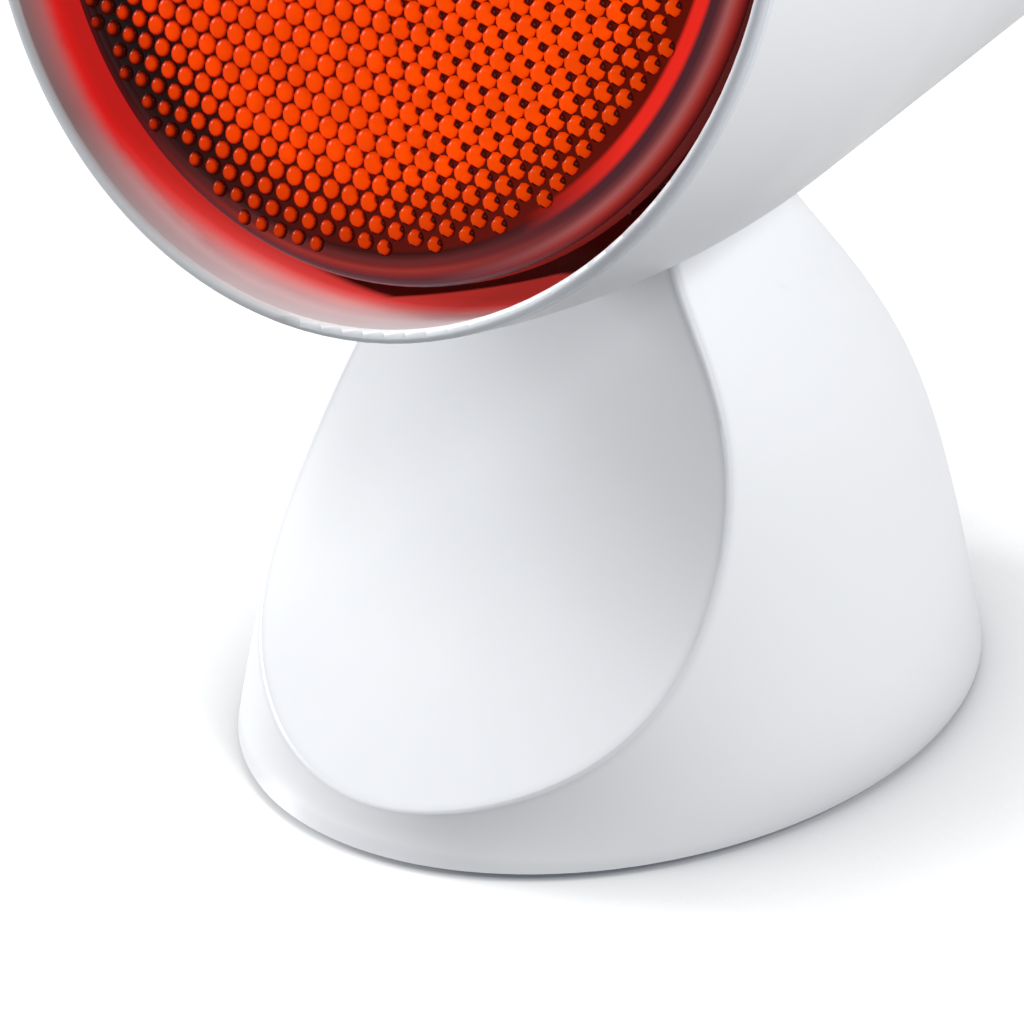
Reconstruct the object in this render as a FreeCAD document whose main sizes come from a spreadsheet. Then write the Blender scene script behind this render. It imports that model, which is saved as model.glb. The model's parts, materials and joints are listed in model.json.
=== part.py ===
"""Tabletop infrared lamp: a bell-shaped shade with a pressed-glass bulb, tilting on a hollow moulded stand.

Row frame: +Z up, the lamp shines towards -Y, and the origin is on the floor under the middle of the
whole lamp. Three frames hang from it, and every finished piece is placed by one of them:
  stand frame   origin on the floor at the middle of the stand's foot, axes as the row's
  head frame    origin at the middle of the shade's mouth, x across, y down, z back along the shade
  hinge frame   origin on the tilt pivot, x across, y back along the shade's underside, z into the shade
"""
import FreeCAD, Part
import math
import os
import re
import Sketcher

Vector = FreeCAD.Vector
doc = FreeCAD.newDocument("infrared_lamp")
# ---------------------------------------------------------------- driving dimensions, in millimetres
lengths = {
    # The stand's bell: level ovals with a half width, and a reach to the front and to the back.
    "stand_y": -15.46,  # middle of the foot behind the middle of the whole lamp
    "stand_lift": 1.0,  # moulded edge above the floor
    "stand_wall": 2.4,  # wall of the stand
    "foot_side": 49.4,  # half width at the floor
    "foot_front": 62.8,  # reach to the front at the floor
    "foot_back": 62.8,  # reach to the back at the floor
    "toe_height": 10,  # second oval
    "toe_side": 49.8,  # half width of the second oval
    "toe_front": 58.35,  # front of the second oval
    "toe_back": 59.1,  # back of the second oval
    "low_height": 25,  # third oval
    "low_side": 45.5,  # half width of the third oval
    "low_front": 57.2,  # front of the third oval
    "low_back": 57.2,  # back of the third oval
    "waist_height": 42,  # fourth oval
    "waist_side": 39.8,  # half width of the fourth oval
    "waist_front": 55.2,  # front of the fourth oval
    "waist_back": 52.9,  # back of the fourth oval
    "shoulder_height": 60,  # fifth oval
    "shoulder_side": 31.8,  # half width of the fifth oval
    "shoulder_front": 53.3,  # front of the fifth oval
    "shoulder_back": 42.3,  # back of the fifth oval
    "crown_height": 85,  # top oval, above the saddle
    "crown_side": 19.9,  # half width of the top oval
    "crown_front": 50.5,  # front of the top oval
    "crown_back": 25.05,  # back of the top oval
    "scoop_radius": 99.3,  # hollow sweep of the front facet, seen from the side
    "scoop_ahead": 113.4,  # middle of that sweep in front of the foot's middle
    "scoop_height": 89.9,  # middle of that sweep above the floor
    "scoop_behind": 140,  # upright axis that the facet is bowed about, behind the foot's middle
    "crease_round": 0.9,  # rounding of the crease round the facet
    "saddle_gap": 0.4,  # running gap between the stand's saddle and the shade
    "saddle_roof": 2.6,  # thickness of the saddle
    # The closing plate, its screws and its feet.
    "plate_sink": 0.6,  # plate above the moulded edge
    "plate_thick": 2.5,  # plate thickness
    "plate_gap": 0.4,  # gap round the plate
    "plate_draft": 2.7,  # how far the wall leans in over the plate at the front and the back
    "post_x": 20,  # screw posts to each side
    "post_y": 28,  # screw posts to the front and to the back
    "post_radius": 4,  # screw post
    "post_hole_deep": 12,  # pilot hole in a post
    "pilot_spare": 1.0,  # pilot hole beyond the tip of its screw
    "screw_radius": 1.5,  # self-tapping screw
    "screw_play": 0.05,  # gap round a screw in its pilot hole
    "screw_head_radius": 2.8,  # pan head
    "screw_head_tall": 1.5,  # pan head
    "foot_pad_x": 27,  # rubber feet to each side
    "foot_pad_y": 38,  # rubber feet to the front and to the back
    "foot_pad_radius": 5.5,  # rubber foot
    "foot_pad_sink": 1.0,  # depth of its recess in the plate
    "vent_width": 2.5,  # air slot in the plate
    "vent_long": 26,  # air slot in the plate
    "vent_pitch": 6,  # air slots apart
    # The cable inlet.
    "inlet_height": 14,  # inlet above the floor
    "inlet_sink": 1.2,  # flat seat below the wall's surface
    "inlet_bore": 3.4,  # hole for a round flexible cord
    "grommet_radius": 5.0,  # grommet waist
    "grommet_flange": 7.0,  # grommet flange
    "grommet_inside": 6.4,  # grommet flange on the inside
    "grommet_lip": 2.2,  # outer flange thickness
    "grommet_wall": 5.0,  # wall that the grommet holds
    "inlet_boss": 9.0,  # radius of the thickened wall
    # The rocker switch.
    "switch_height": 36,  # switch above the floor
    "switch_sink": 1.3,  # panel face below the wall's surface
    "switch_pad": 4.0,  # panel thickness
    "panel_rim_x": 4.0,  # panel beyond the bezel to each side
    "panel_rim_z": 3.0,  # panel beyond the bezel above and below
    "bezel_x": 7.5,  # bezel half width
    "bezel_z": 10.5,  # bezel half height
    "bezel_thick": 1.6,  # bezel thickness
    "switch_x": 6.5,  # switch body half width
    "switch_z": 9.6,  # switch body half height
    "switch_deep": 16,  # switch body behind the panel
    "switch_fit": 0.15,  # gap round the switch in its window
    "well_x": 5.05,  # rocker well half width
    "well_z": 8.9,  # rocker well half height
    "well_deep": 7.6,  # rocker well behind the panel
    "rocker_x": 4.8,  # rocker half width
    "rocker_z": 7.9,  # rocker half height
    "rocker_sink": 3.0,  # rocker pivot behind the panel
    "rocker_under": 2.5,  # rocker below its pivot
    "trunnion_radius": 1.2,  # rocker pin
    "trunnion_reach": 5.9,  # rocker pin end from the middle
    "running_gap": 0.05,  # radial gap of a running fit
    "blade_thick": 0.8,  # switch terminal
    "blade_x": 3.15,  # switch terminal half width
    "blade_long": 7,  # switch terminal
    "blade_z": 5,  # switch terminals above and below the middle
    # The terminal block on the plate.
    "block_x": 10,  # terminal block half width
    "block_y": 5,  # terminal block half depth
    "block_tall": 9,  # terminal block height
    "block_at": 8,  # terminal block behind the foot's middle
    "wire_way": 2.0,  # wire hole
    "wire_way_x": 5,  # wire holes to each side
    "clamp_screw_radius": 1.6,  # terminal screw
    # The tilt hinge.
    "pivot_y": 18,  # pivot behind the foot's middle
    "pivot_z": 92,  # pivot above the floor
    "pivot_back": 88.2,  # pivot behind the shade's mouth
    "pivot_depth": 10.8,  # pivot inside the shade's surface
    "yoke_floor": 68.2,  # underside of the yoke
    "yoke_thick": 1.8,  # yoke plate
    "yoke_x": 14,  # yoke plate half width
    "ear_inside": 5.5,  # inner face of an ear from the middle
    "ear_thick": 2.0,  # ear
    "ear_round": 6.0,  # ear half width and top rounding
    "yoke_screw_x": 11.2,  # yoke screws to each side
    "yoke_screw_long": 6.0,  # yoke screw in its post
    "yoke_post_radius": 3.2,  # yoke screw post
    "bolt_radius": 2.5,  # tilt bolt
    "bolt_tail": 13.4,  # end of the bolt from the middle
    "hex_across": 4.6,  # corner radius of the bolt's head and the nut
    "hex_tall": 3.2,  # bolt head and nut height
    "spring_thick": 1.2,  # spring washer
    "spring_radius": 4.4,  # spring washer
    "spring_split": 0.4,  # half width of its split
    "tongue_x": 4.0,  # tongue half thickness
    "tongue_round": 6.3,  # tongue rounding
    "rib_short": 4.0,  # tongue rib behind the tongue screws
    "washer_gap": 0.3,  # gap between the tongue and a friction washer
    "washer_radius": 6.0,  # friction washer
    "bracket_x": 15,  # tongue plate half width
    "bracket_front": 34,  # tongue plate front edge before the pivot
    "bracket_low": 4.5,  # tongue plate underside below the pivot
    "bracket_thick": 2.0,  # tongue plate
    "bracket_screw_x": 10,  # tongue screws to each side
    "bracket_screw_y": 24,  # tongue screws before the pivot
    "tongue_screw_long": 3.0,  # tongue screw in the shade
    "slot_side_gap": 1.1,  # slot beside an ear
    "slot_front_gap": 1.2,  # slot before an ear
    "slot_back_gap": 1.8,  # slot behind an ear when the shade is tipped right up
    # The shade: a rolled lip, a long bow, then a straight cone.
    "mouth_gap": 5.25,  # gap between the bulb's flange and the inside of the shade
    "shade_wall": 1.9,  # wall of the shade
    "lip_bead": 1.0,  # rounding of the rolled lip
    "lip_long": 1.9,  # length of the lip
    "lip_groove": 0.4,  # depth and half width of the groove behind the lip
    "lip_step": 0.05,  # shade below the lip behind the groove
    "bend_radius": 57.2,  # shade radius where the bow meets the cone
    "bend_back": 62,  # place of that meeting behind the mouth
    "shade_bow": 232,  # radius of the bow along the shade
    "shade_end": 134,  # length of the shade
    "arm_boss_x": 27.5,  # holder bracket screws to each side
    "arm_boss_radius": 3.4,  # holder bracket boss
    "arm_boss_top": 129,  # boss face behind the mouth
    "arm_boss_long": 20,  # boss length
    "arm_screw_long": 9,  # bracket screw in its boss
    "web_thick": 2.0,  # web of a boss
    # The vented rear cap.
    "cap_bend": 152,  # end of the cap's cone behind the mouth
    "cap_end": 165,  # back of the cap
    "cap_flat": 9,  # flat of the cap's back
    "cap_bow": 24,  # rounding of the cap's back
    "spigot_long": 3,  # spigot inside the shade
    "spigot_wall": 1.4,  # spigot wall
    "spigot_gap": 0.1,  # gap round the spigot
    "cap_slot_front": 138,  # start of the cap's air slots
    "cap_slot_long": 11,  # length of an air slot
    "cap_slot_width": 3.2,  # width of an air slot
    # The bulb.
    "flange_radius": 60.8,  # bulb flange
    "lens_radius": 56.5,  # beaded lens
    "lens_recess": 4.7,  # bulb flange behind the mouth
    "lens_sag": 4.2,  # height of the lens's dome
    "lens_thick": 3.0,  # glass of the lens
    "seam_back": 8.2,  # seam between lens and reflector behind the mouth
    "flange_back": 11.2,  # back of the flange
    "shoulder_radius": 58.6,  # reflector behind the flange
    "reflector_start": 12.6,  # reflector behind the mouth
    "reflector_inside": 54.5,  # inside of the reflector at the seam
    "reflector_bow": 132,  # bow of the reflector
    "neck_radius": 20,  # bulb neck
    "neck_back": 88,  # end of the glass neck
    "glass": 2.6,  # glass of the reflector
    "neck_glass": 3.9,  # glass at the neck
    "collar_mid": 98,  # end of the straight collar
    "collar_back": 112,  # end of the collar
    "collar_taper": 0.4,  # how far the straight collar draws in
    "collar_seat": 0.8,  # collar beyond the threads
    "collar_wall": 1.0,  # sheet of the collar
    "screw_cap_radius": 13.2,  # screw cap over its threads
    "thread_deep": 0.8,  # thread depth
    "thread_pitch": 3.6,  # thread pitch
    "screw_cap_wall": 1.0,  # sheet of the screw cap
    "insulator_long": 4.4,  # black glass of the screw cap
    "contact_radius": 5.5,  # end contact of the bulb
    "contact_long": 2.7,  # end contact of the bulb
    "support_x": 9,  # filament supports to each side
    "support_radius": 0.9,  # filament support
    "support_front": 58,  # front end of the supports
    "filament_radius": 0.5,  # coiled filament
    # The lampholder.
    "holder_front": 113,  # front of the lampholder
    "holder_floor": 142,  # bottom of its well
    "holder_back": 150,  # back of the lampholder
    "holder_radius": 20.5,  # lampholder body
    "holder_neck": 18.8,  # lampholder front and back
    "holder_shoulder": 6,  # length of the lampholder's tapered front
    "holder_edge": 2,  # length of its tapered back
    "sleeve_gap": 0.2,  # gap between the screw cap and the threaded sleeve
    "sleeve_wall": 0.8,  # threaded sleeve
    "sleeve_short": 1.0,  # sleeve behind the holder's front
    "contact_spring": 4,  # radius of the holder's centre contact
    "holder_screw_x": 8,  # holder screws to each side
    "holder_screw_deep": 6,  # holder screws into the porcelain
    "arm_inside": 22,  # inner face of a bracket arm from the middle
    "arm_thick": 1.6,  # bracket strip thickness
    "arm_half": 6,  # bracket strip half width
    "arm_foot": 31,  # end of a bracket foot from the middle
}
# In degrees.
angles = {
    "rocker_throw": 9,  # rocker angle each way
    "tilt": 16.88,  # shade's axis above level at rest
    "tilt_travel": 30,  # how far the shade tips up from rest
    "cone": 17.6,  # half angle of the cone
}
counts = {
    "cap_slots": 18,  # number of air slots
    "thread_turns": 6,  # turns of thread
}

sheet = doc.addObject("Spreadsheet::Sheet", "Dims")
size_names = list(lengths) + list(angles) + list(counts)
for row, (name, value) in enumerate({**lengths, **angles, **counts}.items(), 1):
    sheet.set("A%d" % row, name)
    sheet.set("B%d" % row, str(value))
    sheet.setAlias("B%d" % row, name)
doc.recompute()

# ---------------------------------------------------------------- worked-out places, as sheet text
# An oval's rear face at a height between two levels, and the lean of the wall there.
INLET_Y = ("(toe_back + (low_back - toe_back) * (inlet_height - toe_height)"
           " / (low_height - toe_height) - inlet_sink)")
SWITCH_Y = ("(low_back + (waist_back - low_back) * (switch_height - low_height)"
            " / (waist_height - low_height) - switch_sink)")
SWITCH_LEAN = "atan((low_back - waist_back) / (waist_height - low_height))"
PLATE_LOW = "(stand_lift + plate_sink)"
PLATE_TOP = "(stand_lift + plate_sink + plate_thick)"
RIM_RADIUS = "(flange_radius + mouth_gap + shade_wall)"
SHADE_END_RADIUS = "(bend_radius - (shade_end - bend_back) * tan(cone))"
PIVOT_DOWN = "(bend_radius - (pivot_back - bend_back) * tan(cone) - pivot_depth / cos(cone))"
LENS_FRONT = "(lens_recess - lens_sag)"
FLANGE_CHORD = "sqrt((flange_radius - lens_radius)^2 + (seam_back - lens_recess)^2)"
THREAD_END = "(collar_back + thread_turns * thread_pitch)"
WORD = re.compile(r"[a-z][a-z_]*")


def cone_radius(back):
    """The shade's outer radius, as text, at a place on its cone."""
    return "(bend_radius - (" + back + " - bend_back) * tan(cone))"


def cells(text):
    """Point every size name in a text at its cell of the sheet."""
    return WORD.sub(lambda word: "Dims." * (word.group() in size_names) + word.group(), str(text))


def number(name):
    """A driving dimension as a plain number, for a sketch's starting shape."""
    return float(sheet.get(name))


def tie(thing, **texts):
    """Bind properties of a document object to the sheet."""
    for prop, text in texts.items():
        thing.setExpression(prop, cells(text))
    return thing


def put(thing, x="0", y="0", z="0", about=None, turn="0"):
    """Place a document object, turned about one axis, with every number bound to the sheet."""
    if about:
        thing.Placement = FreeCAD.Placement(Vector(), FreeCAD.Rotation(Vector(*about), 1))
        thing.setExpression("Placement.Rotation.Angle", cells(turn))
    for letter, text in (("x", x), ("y", y), ("z", z)):
        if str(text) != "0":
            thing.setExpression("Placement.Base." + letter, cells(text))
    return thing


def rod(name, radius, start, end, x="0", y="0", z="0", along="z"):
    """A round bar from start to end along an axis; the other two coordinates give its middle line."""
    bar = tie(doc.addObject("Part::Cylinder", name), Radius=radius,
              Height="(" + str(end) + ") - (" + str(start) + ")")
    if along == "x":
        return put(bar, start, y, z, (0, 1, 0), "90")
    if along == "y":
        return put(bar, x, start, z, (1, 0, 0), "-90")
    return put(bar, x, y, start)


def block(name, x, y, z):
    """A box between pairs of faces."""
    box = doc.addObject("Part::Box", name)
    for prop, pair in (("Length", x), ("Width", y), ("Height", z)):
        box.setExpression(prop, cells("(" + str(pair[1]) + ") - (" + str(pair[0]) + ")"))
    return put(box, x[0], y[0], z[0])


def carry(name, *pieces):
    """Hold shapes together as they are, so that they can be placed as one."""
    group = doc.addObject("Part::Compound", name)
    group.Links = list(pieces)
    return group


def fuse(name, *pieces):
    """Join shapes into one solid."""
    joined = doc.addObject("Part::MultiFuse", name)
    joined.Shapes = list(pieces)
    joined.Refine = False
    return joined


def cut(name, base, *tools):
    """Take tools away from a base."""
    result = doc.addObject("Part::Cut", name)
    result.Base = base
    result.Tool = tools[0] if len(tools) == 1 else fuse(name + "_tools", *tools)
    return result


def common(name, first, second):
    """Keep what two shapes share."""
    result = doc.addObject("Part::Common", name)
    result.Base = first
    result.Tool = second
    return result


CORNERS = (("", ""), ("-", ""), ("", "-"), ("-", "-"))


def both_sides(make):
    """The same shape made on the right and on the left; make takes a name ending and a sign."""
    return [make("_right", ""), make("_left", "-")]


def outline(sketch, corners, bows):
    """Draw a closed outline through corners (radius, back), each bound to the sheet.

    bows maps an edge, by the corner that it starts from, to (radius text, starting radius, side):
    that edge becomes an arc, centred on its left for +1 and on its right for -1, and its chord stays
    as a construction line.
    """
    count = len(corners)
    ring = Part.makeCircle(9, Vector(20, 20, 0)).discretize(count + 1)[:count]
    spread = [Vector(*point) for point in ring]
    for i in range(count):
        sketch.addGeometry(Part.LineSegment(spread[i], spread[(i + 1) % count]), False)
    for i, corner in enumerate(corners):
        sketch.addConstraint(Sketcher.Constraint("Coincident", i, 2, (i + 1) % count, 1))
        for kind, axis, text in (("DistanceX", -2, corner[0]), ("DistanceY", -1, corner[1])):
            if str(text) == "0":
                sketch.addConstraint(Sketcher.Constraint("PointOnObject", i, 1, axis))
            else:
                place = sketch.addConstraint(Sketcher.Constraint(kind, -1, 1, i, 1, 20.0))
                sketch.setExpression("Constraints[%d]" % place, cells(text))
    doc.recompute()
    for edge, (radius_text, radius, side) in bows.items():
        chord = sketch.Geometry[edge]
        run = chord.EndPoint - chord.StartPoint
        half = run.Length / 2
        left = Vector(-run.y, run.x, 0).normalize()
        middle = (chord.StartPoint + chord.EndPoint) * 0.5
        centre = middle + left * (side * math.sqrt(max(radius ** 2 - half ** 2, 0)))
        ends = (chord.StartPoint, chord.EndPoint) if side > 0 else (chord.EndPoint, chord.StartPoint)
        turns = [math.atan2(end.y - centre.y, end.x - centre.x) for end in ends]
        if turns[1] < turns[0]:
            turns[1] += 2 * math.pi
        circle = Part.Circle(centre, Vector(0, 0, 1), radius)
        arc = sketch.addGeometry(Part.ArcOfCircle(circle, turns[0], turns[1]), False)
        first, last = (1, 2) if side > 0 else (2, 1)
        sketch.addConstraint(Sketcher.Constraint("Coincident", arc, first, edge, 1))
        sketch.addConstraint(Sketcher.Constraint("Coincident", arc, last, edge, 2))
        place = sketch.addConstraint(Sketcher.Constraint("Radius", arc, radius))
        sketch.setExpression("Constraints[%d]" % place, cells(radius_text))
        sketch.toggleConstruction(edge)
    doc.recompute()


def origin_plane(body, role):
    """One of a body's own origin planes."""
    return [plane for plane in body.Origin.OriginFeatures if plane.Role == role][0]


def turned(name, corners, bows=None):
    """A body turned about its z axis from an outline of (radius, back) corners."""
    body = doc.addObject("PartDesign::Body", name)
    sketch = body.newObject("Sketcher::SketchObject", name + "_outline")
    sketch.AttachmentSupport = (origin_plane(body, "XZ_Plane"), [""])
    sketch.MapMode = "FlatFace"
    outline(sketch, corners, bows or {})
    turn = body.newObject("PartDesign::Revolution", name + "_turn")
    turn.Profile = sketch
    turn.ReferenceAxis = (sketch, ["V_Axis"])
    turn.Angle = 360
    body.Tip = turn
    doc.recompute()
    return body


finished = {}


def finish(label, thing, frame):
    """Name a finished piece and place it in its frame."""
    thing.Label = label
    finished[label] = thing
    frame(thing)


def on_stand(thing):
    """Stand frame."""
    put(thing, y="stand_y")


def tipped(thing, angle, shift):
    """Head frame with the shade's axis at an angle above level."""
    put(thing, "0",
        shift + " + pivot_y + sin(" + angle + ") * " + PIVOT_DOWN + " - cos(" + angle + ") * pivot_back",
        "pivot_z + cos(" + angle + ") * " + PIVOT_DOWN + " + sin(" + angle + ") * pivot_back",
        (1, 0, 0), "-90 - (" + angle + ")")
    return thing


def in_head(thing):
    """Head frame at rest."""
    tipped(thing, "tilt", "stand_y")


def on_hinge(thing):
    """Hinge frame at rest."""
    put(thing, "0", "stand_y + pivot_y", "pivot_z", (1, 0, 0), "cone - tilt")


def hinge_in_head(thing):
    """Hinge frame, seen from the head frame."""
    return put(thing, "0", PIVOT_DOWN, "pivot_back", (1, 0, 0), "90 + cone")


def at_switch(thing, shift="stand_y"):
    """Switch frame: origin on the panel's face, y out of the panel, z up along it."""
    return put(thing, "0", shift + " + " + SWITCH_Y, "switch_height", (1, 0, 0), SWITCH_LEAN)


# ---------------------------------------------------------------- stand shell
def oval(name, height, side, front, back, inset):
    """One level section of the bell."""
    ring = doc.addObject("Part::Ellipse", name)
    tie(ring, MajorRadius="(" + front + " + " + back + ") / 2 - " + inset,
        MinorRadius=side + " - " + inset)
    return put(ring, "0", "(" + back + " - " + front + ") / 2", height, (0, 0, 1), "90")


def bell(name, foot_height, inset):
    """The solid bell through its six ovals, drawn in by an inset."""
    rings = [oval(name + "_foot", foot_height, "foot_side", "foot_front", "foot_back", inset)]
    for level in ("toe", "low", "waist", "shoulder", "crown"):
        rings.append(oval(name + "_" + level, level + "_height", level + "_side",
                          level + "_front", level + "_back", inset))
    skin = doc.addObject("Part::Loft", name)
    skin.Sections = rings
    skin.Solid = True
    skin.Ruled = False
    return skin


def scoop(name, deeper):
    """The ring-shaped space in front of the facet."""
    ring = doc.addObject("Part::Torus", name)
    tie(ring, Radius1="scoop_ahead + scoop_behind", Radius2="scoop_radius + " + deeper)
    return put(ring, "0", "scoop_behind", "scoop_height")


def eased(name, scooped):
    """A body that rounds the crease where the facet's ring-shaped hollow meets the bell's skin."""
    doc.recompute()
    shape = scooped.Shape
    creases = []
    for i, edge in enumerate(shape.Edges, 1):
        kinds = {face.Surface.TypeId for face in shape.ancestorsOfType(edge, Part.Face)}
        if kinds == {"Part::GeomToroid", "Part::GeomBSplineSurface"}:
            creases.append("Edge%d" % i)
    body = doc.addObject("PartDesign::Body", name)
    body.BaseFeature = scooped
    soft = body.newObject("PartDesign::Fillet", name + "_crease")
    soft.Base = (body.Group[0], creases)
    tie(soft, Radius="crease_round")
    body.Tip = soft
    doc.recompute()
    return body


def shade_space(name, gap):
    """The solid space that the shade takes, grown by a gap, in the head frame."""
    return turned(name, [
        ("0", "0"),
        (RIM_RADIUS + " + " + gap, "0"),
        ("bend_radius + (" + gap + ") * cos(cone)", "bend_back + (" + gap + ") * sin(cone)"),
        (SHADE_END_RADIUS + " + (" + gap + ") / cos(cone)", "shade_end"),
        ("0", "shade_end"),
    ], {1: ("shade_bow + " + gap, number("shade_bow"), 1)})


def shade_sweep(name, gap):
    """That space at rest and tipped right up, in the stand frame."""
    low = tipped(shade_space(name + "_low", gap), "tilt", "0")
    high = tipped(shade_space(name + "_high", gap), "(tilt + tilt_travel)", "0")
    return [low, high]


def stand_posts():
    """Screw posts, the thick wall round the inlet and the switch panel, before trimming."""
    posts = [rod("post_%d" % i, "post_radius", PLATE_TOP, "crown_height", sx + "post_x", sy + "post_y")
             for i, (sx, sy) in enumerate(CORNERS)]
    posts += both_sides(lambda end, sign: rod(
        "yoke_post" + end, "yoke_post_radius", "yoke_floor + yoke_thick", "crown_height",
        sign + "yoke_screw_x", "pivot_y"))
    posts.append(rod("inlet_thick", "inlet_boss", INLET_Y + " - grommet_wall", INLET_Y + " + 5",
                     z="inlet_height", along="y"))
    pad = block("switch_panel", ("-bezel_x - panel_rim_x", "bezel_x + panel_rim_x"),
                ("-switch_pad", "switch_pad"), ("-bezel_z - panel_rim_z", "bezel_z + panel_rim_z"))
    panel = carry("switch_panel_turned", pad)
    posts.append(at_switch(panel, "0"))
    return posts


def stand_holes():
    """Everything that is cut through or into the stand."""
    holes = [rod("post_hole_%d" % i, "screw_radius + screw_play", PLATE_TOP + " - pilot_spare",
                 PLATE_TOP + " + post_hole_deep", sx + "post_x", sy + "post_y")
             for i, (sx, sy) in enumerate(CORNERS)]
    holes += both_sides(lambda end, sign: rod(
        "yoke_hole" + end, "screw_radius + screw_play", "yoke_floor",
        "yoke_floor + yoke_thick + yoke_screw_long + pilot_spare", sign + "yoke_screw_x", "pivot_y"))
    reach = "ear_inside + ear_thick + slot_side_gap"
    holes.append(block("saddle_way", ("-(" + reach + ")", reach),
                       ("pivot_y - ear_round - slot_front_gap", "pivot_y + ear_round + slot_front_gap"),
                       ("yoke_floor + yoke_thick", "crown_height + 5")))
    holes.append(rod("inlet_way", "grommet_radius", INLET_Y + " - 12", INLET_Y + " + 8",
                     z="inlet_height", along="y"))
    holes.append(rod("inlet_seat", "grommet_flange + plate_gap", INLET_Y, INLET_Y + " + 8",
                     z="inlet_height", along="y"))
    seat = block("bezel_seat", ("-bezel_x - plate_gap", "bezel_x + plate_gap"), ("0", "8"),
                 ("-bezel_z - plate_gap", "bezel_z + plate_gap"))
    window = block("switch_window", ("-switch_x - switch_fit", "switch_x + switch_fit"), ("-12", "1"),
                   ("-switch_z - switch_fit", "switch_z + switch_fit"))
    holes.append(at_switch(fuse("switch_way", seat, window), "0"))
    return holes


def make_stand():
    """The hollow moulded stand, open below, with its facet, saddle, posts and openings."""
    scooped = cut("stand_scooped", bell("bell_outside", "stand_lift", "0"), scoop("scoop_outside", "0"))
    outside = cut("stand_outside", eased("stand_eased", scooped), *shade_sweep("saddle", "saddle_gap"))
    hollow = cut("stand_hollow", bell("bell_inside", "stand_lift - 1", "stand_wall"),
                 scoop("scoop_inside", "stand_wall"), *shade_sweep("roof", "saddle_gap + saddle_roof"))
    wall = cut("stand_wall_form", outside, hollow)
    posts = common("stand_posts", outside, fuse("stand_post_blanks", *stand_posts()))
    finish("stand_shell", cut("stand_moulding", fuse("stand_with_posts", wall, posts), *stand_holes()),
           on_stand)


# ---------------------------------------------------------------- base plate, feet and screws
def four(name, x, y, make):
    """The same piece at the four corners of the foot, as one group of separate solids."""
    group = doc.addObject("Part::Compound", name)
    group.Links = [make("%s_%d" % (name, i), sx + x, sy + y) for i, (sx, sy) in enumerate(CORNERS)]
    return group


def pan_screw(name, x, y, under_head, tip, along="z"):
    """A pan-head screw: its head reaches back from under_head, its shank runs on to the tip."""
    head = rod(name + "_head", "screw_head_radius", "(" + under_head + ") - screw_head_tall", under_head,
               x, y)
    shank = rod(name + "_shank", "screw_radius", under_head, tip, x, y)
    return fuse(name, head, shank)


def make_base():
    """The closing plate with its recesses and air slots, its screws and its rubber feet."""
    rim = doc.addObject("Part::Ellipse", "plate_rim")
    tie(rim, MajorRadius="(foot_front + foot_back) / 2 - stand_wall - plate_draft",
        MinorRadius="foot_side - stand_wall - plate_gap")
    put(rim, "0", "(foot_back - foot_front) / 2", PLATE_LOW, (0, 0, 1), "90")
    sheet_form = doc.addObject("Part::Extrusion", "plate_form")
    sheet_form.Base = rim
    sheet_form.Dir = Vector(0, 0, 1)
    sheet_form.Solid = True
    tie(sheet_form, LengthFwd="plate_thick")
    holes = [four("plate_hole", "post_x", "post_y", lambda name, x, y: rod(
        name, "screw_radius + screw_play", "0", PLATE_TOP + " + 1", x, y))]
    holes.append(four("plate_counterbore", "post_x", "post_y", lambda name, x, y: rod(
        name, "screw_head_radius + screw_play", "0", PLATE_LOW + " + screw_head_tall", x, y)))
    holes.append(four("foot_recess", "foot_pad_x", "foot_pad_y", lambda name, x, y: rod(
        name, "foot_pad_radius + screw_play", "0", PLATE_LOW + " + foot_pad_sink", x, y)))
    for i in (-2, -1, 0):
        middle = "(%d * vent_pitch)" % i
        holes.append(block("air_slot_%d" % (i + 2), ("-vent_long / 2", "vent_long / 2"),
                           (middle + " - vent_width / 2 - block_y", middle + " + vent_width / 2 - block_y"),
                           ("0", PLATE_TOP + " + 1")))
    finish("base_plate", cut("plate_cut", sheet_form, *holes), on_stand)
    finish("rubber_feet", four("foot_pad", "foot_pad_x", "foot_pad_y", lambda name, x, y: rod(
        name, "foot_pad_radius", "0", PLATE_LOW + " + foot_pad_sink", x, y)), on_stand)
    finish("base_screws", four("base_screw", "post_x", "post_y", lambda name, x, y: pan_screw(
        name, x, y, PLATE_LOW + " + screw_head_tall",
        PLATE_TOP + " + post_hole_deep - pilot_spare")), on_stand)


def make_inlet():
    """The rubber grommet of the cable inlet, in the back wall."""
    back = INLET_Y + " - grommet_wall"
    body = fuse("grommet_body", *[
        rod(name, radius, start, end, z="inlet_height", along="y") for name, radius, start, end in (
            ("grommet_outer", "grommet_flange", INLET_Y, INLET_Y + " + grommet_lip"),
            ("grommet_waist", "grommet_radius", back, INLET_Y),
            ("grommet_inner", "grommet_inside", back + " - grommet_lip", back))])
    bore = rod("grommet_bore", "inlet_bore", back + " - 9", INLET_Y + " + 9", z="inlet_height", along="y")
    finish("cord_grommet", cut("grommet_cut", body, bore), on_stand)


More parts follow.
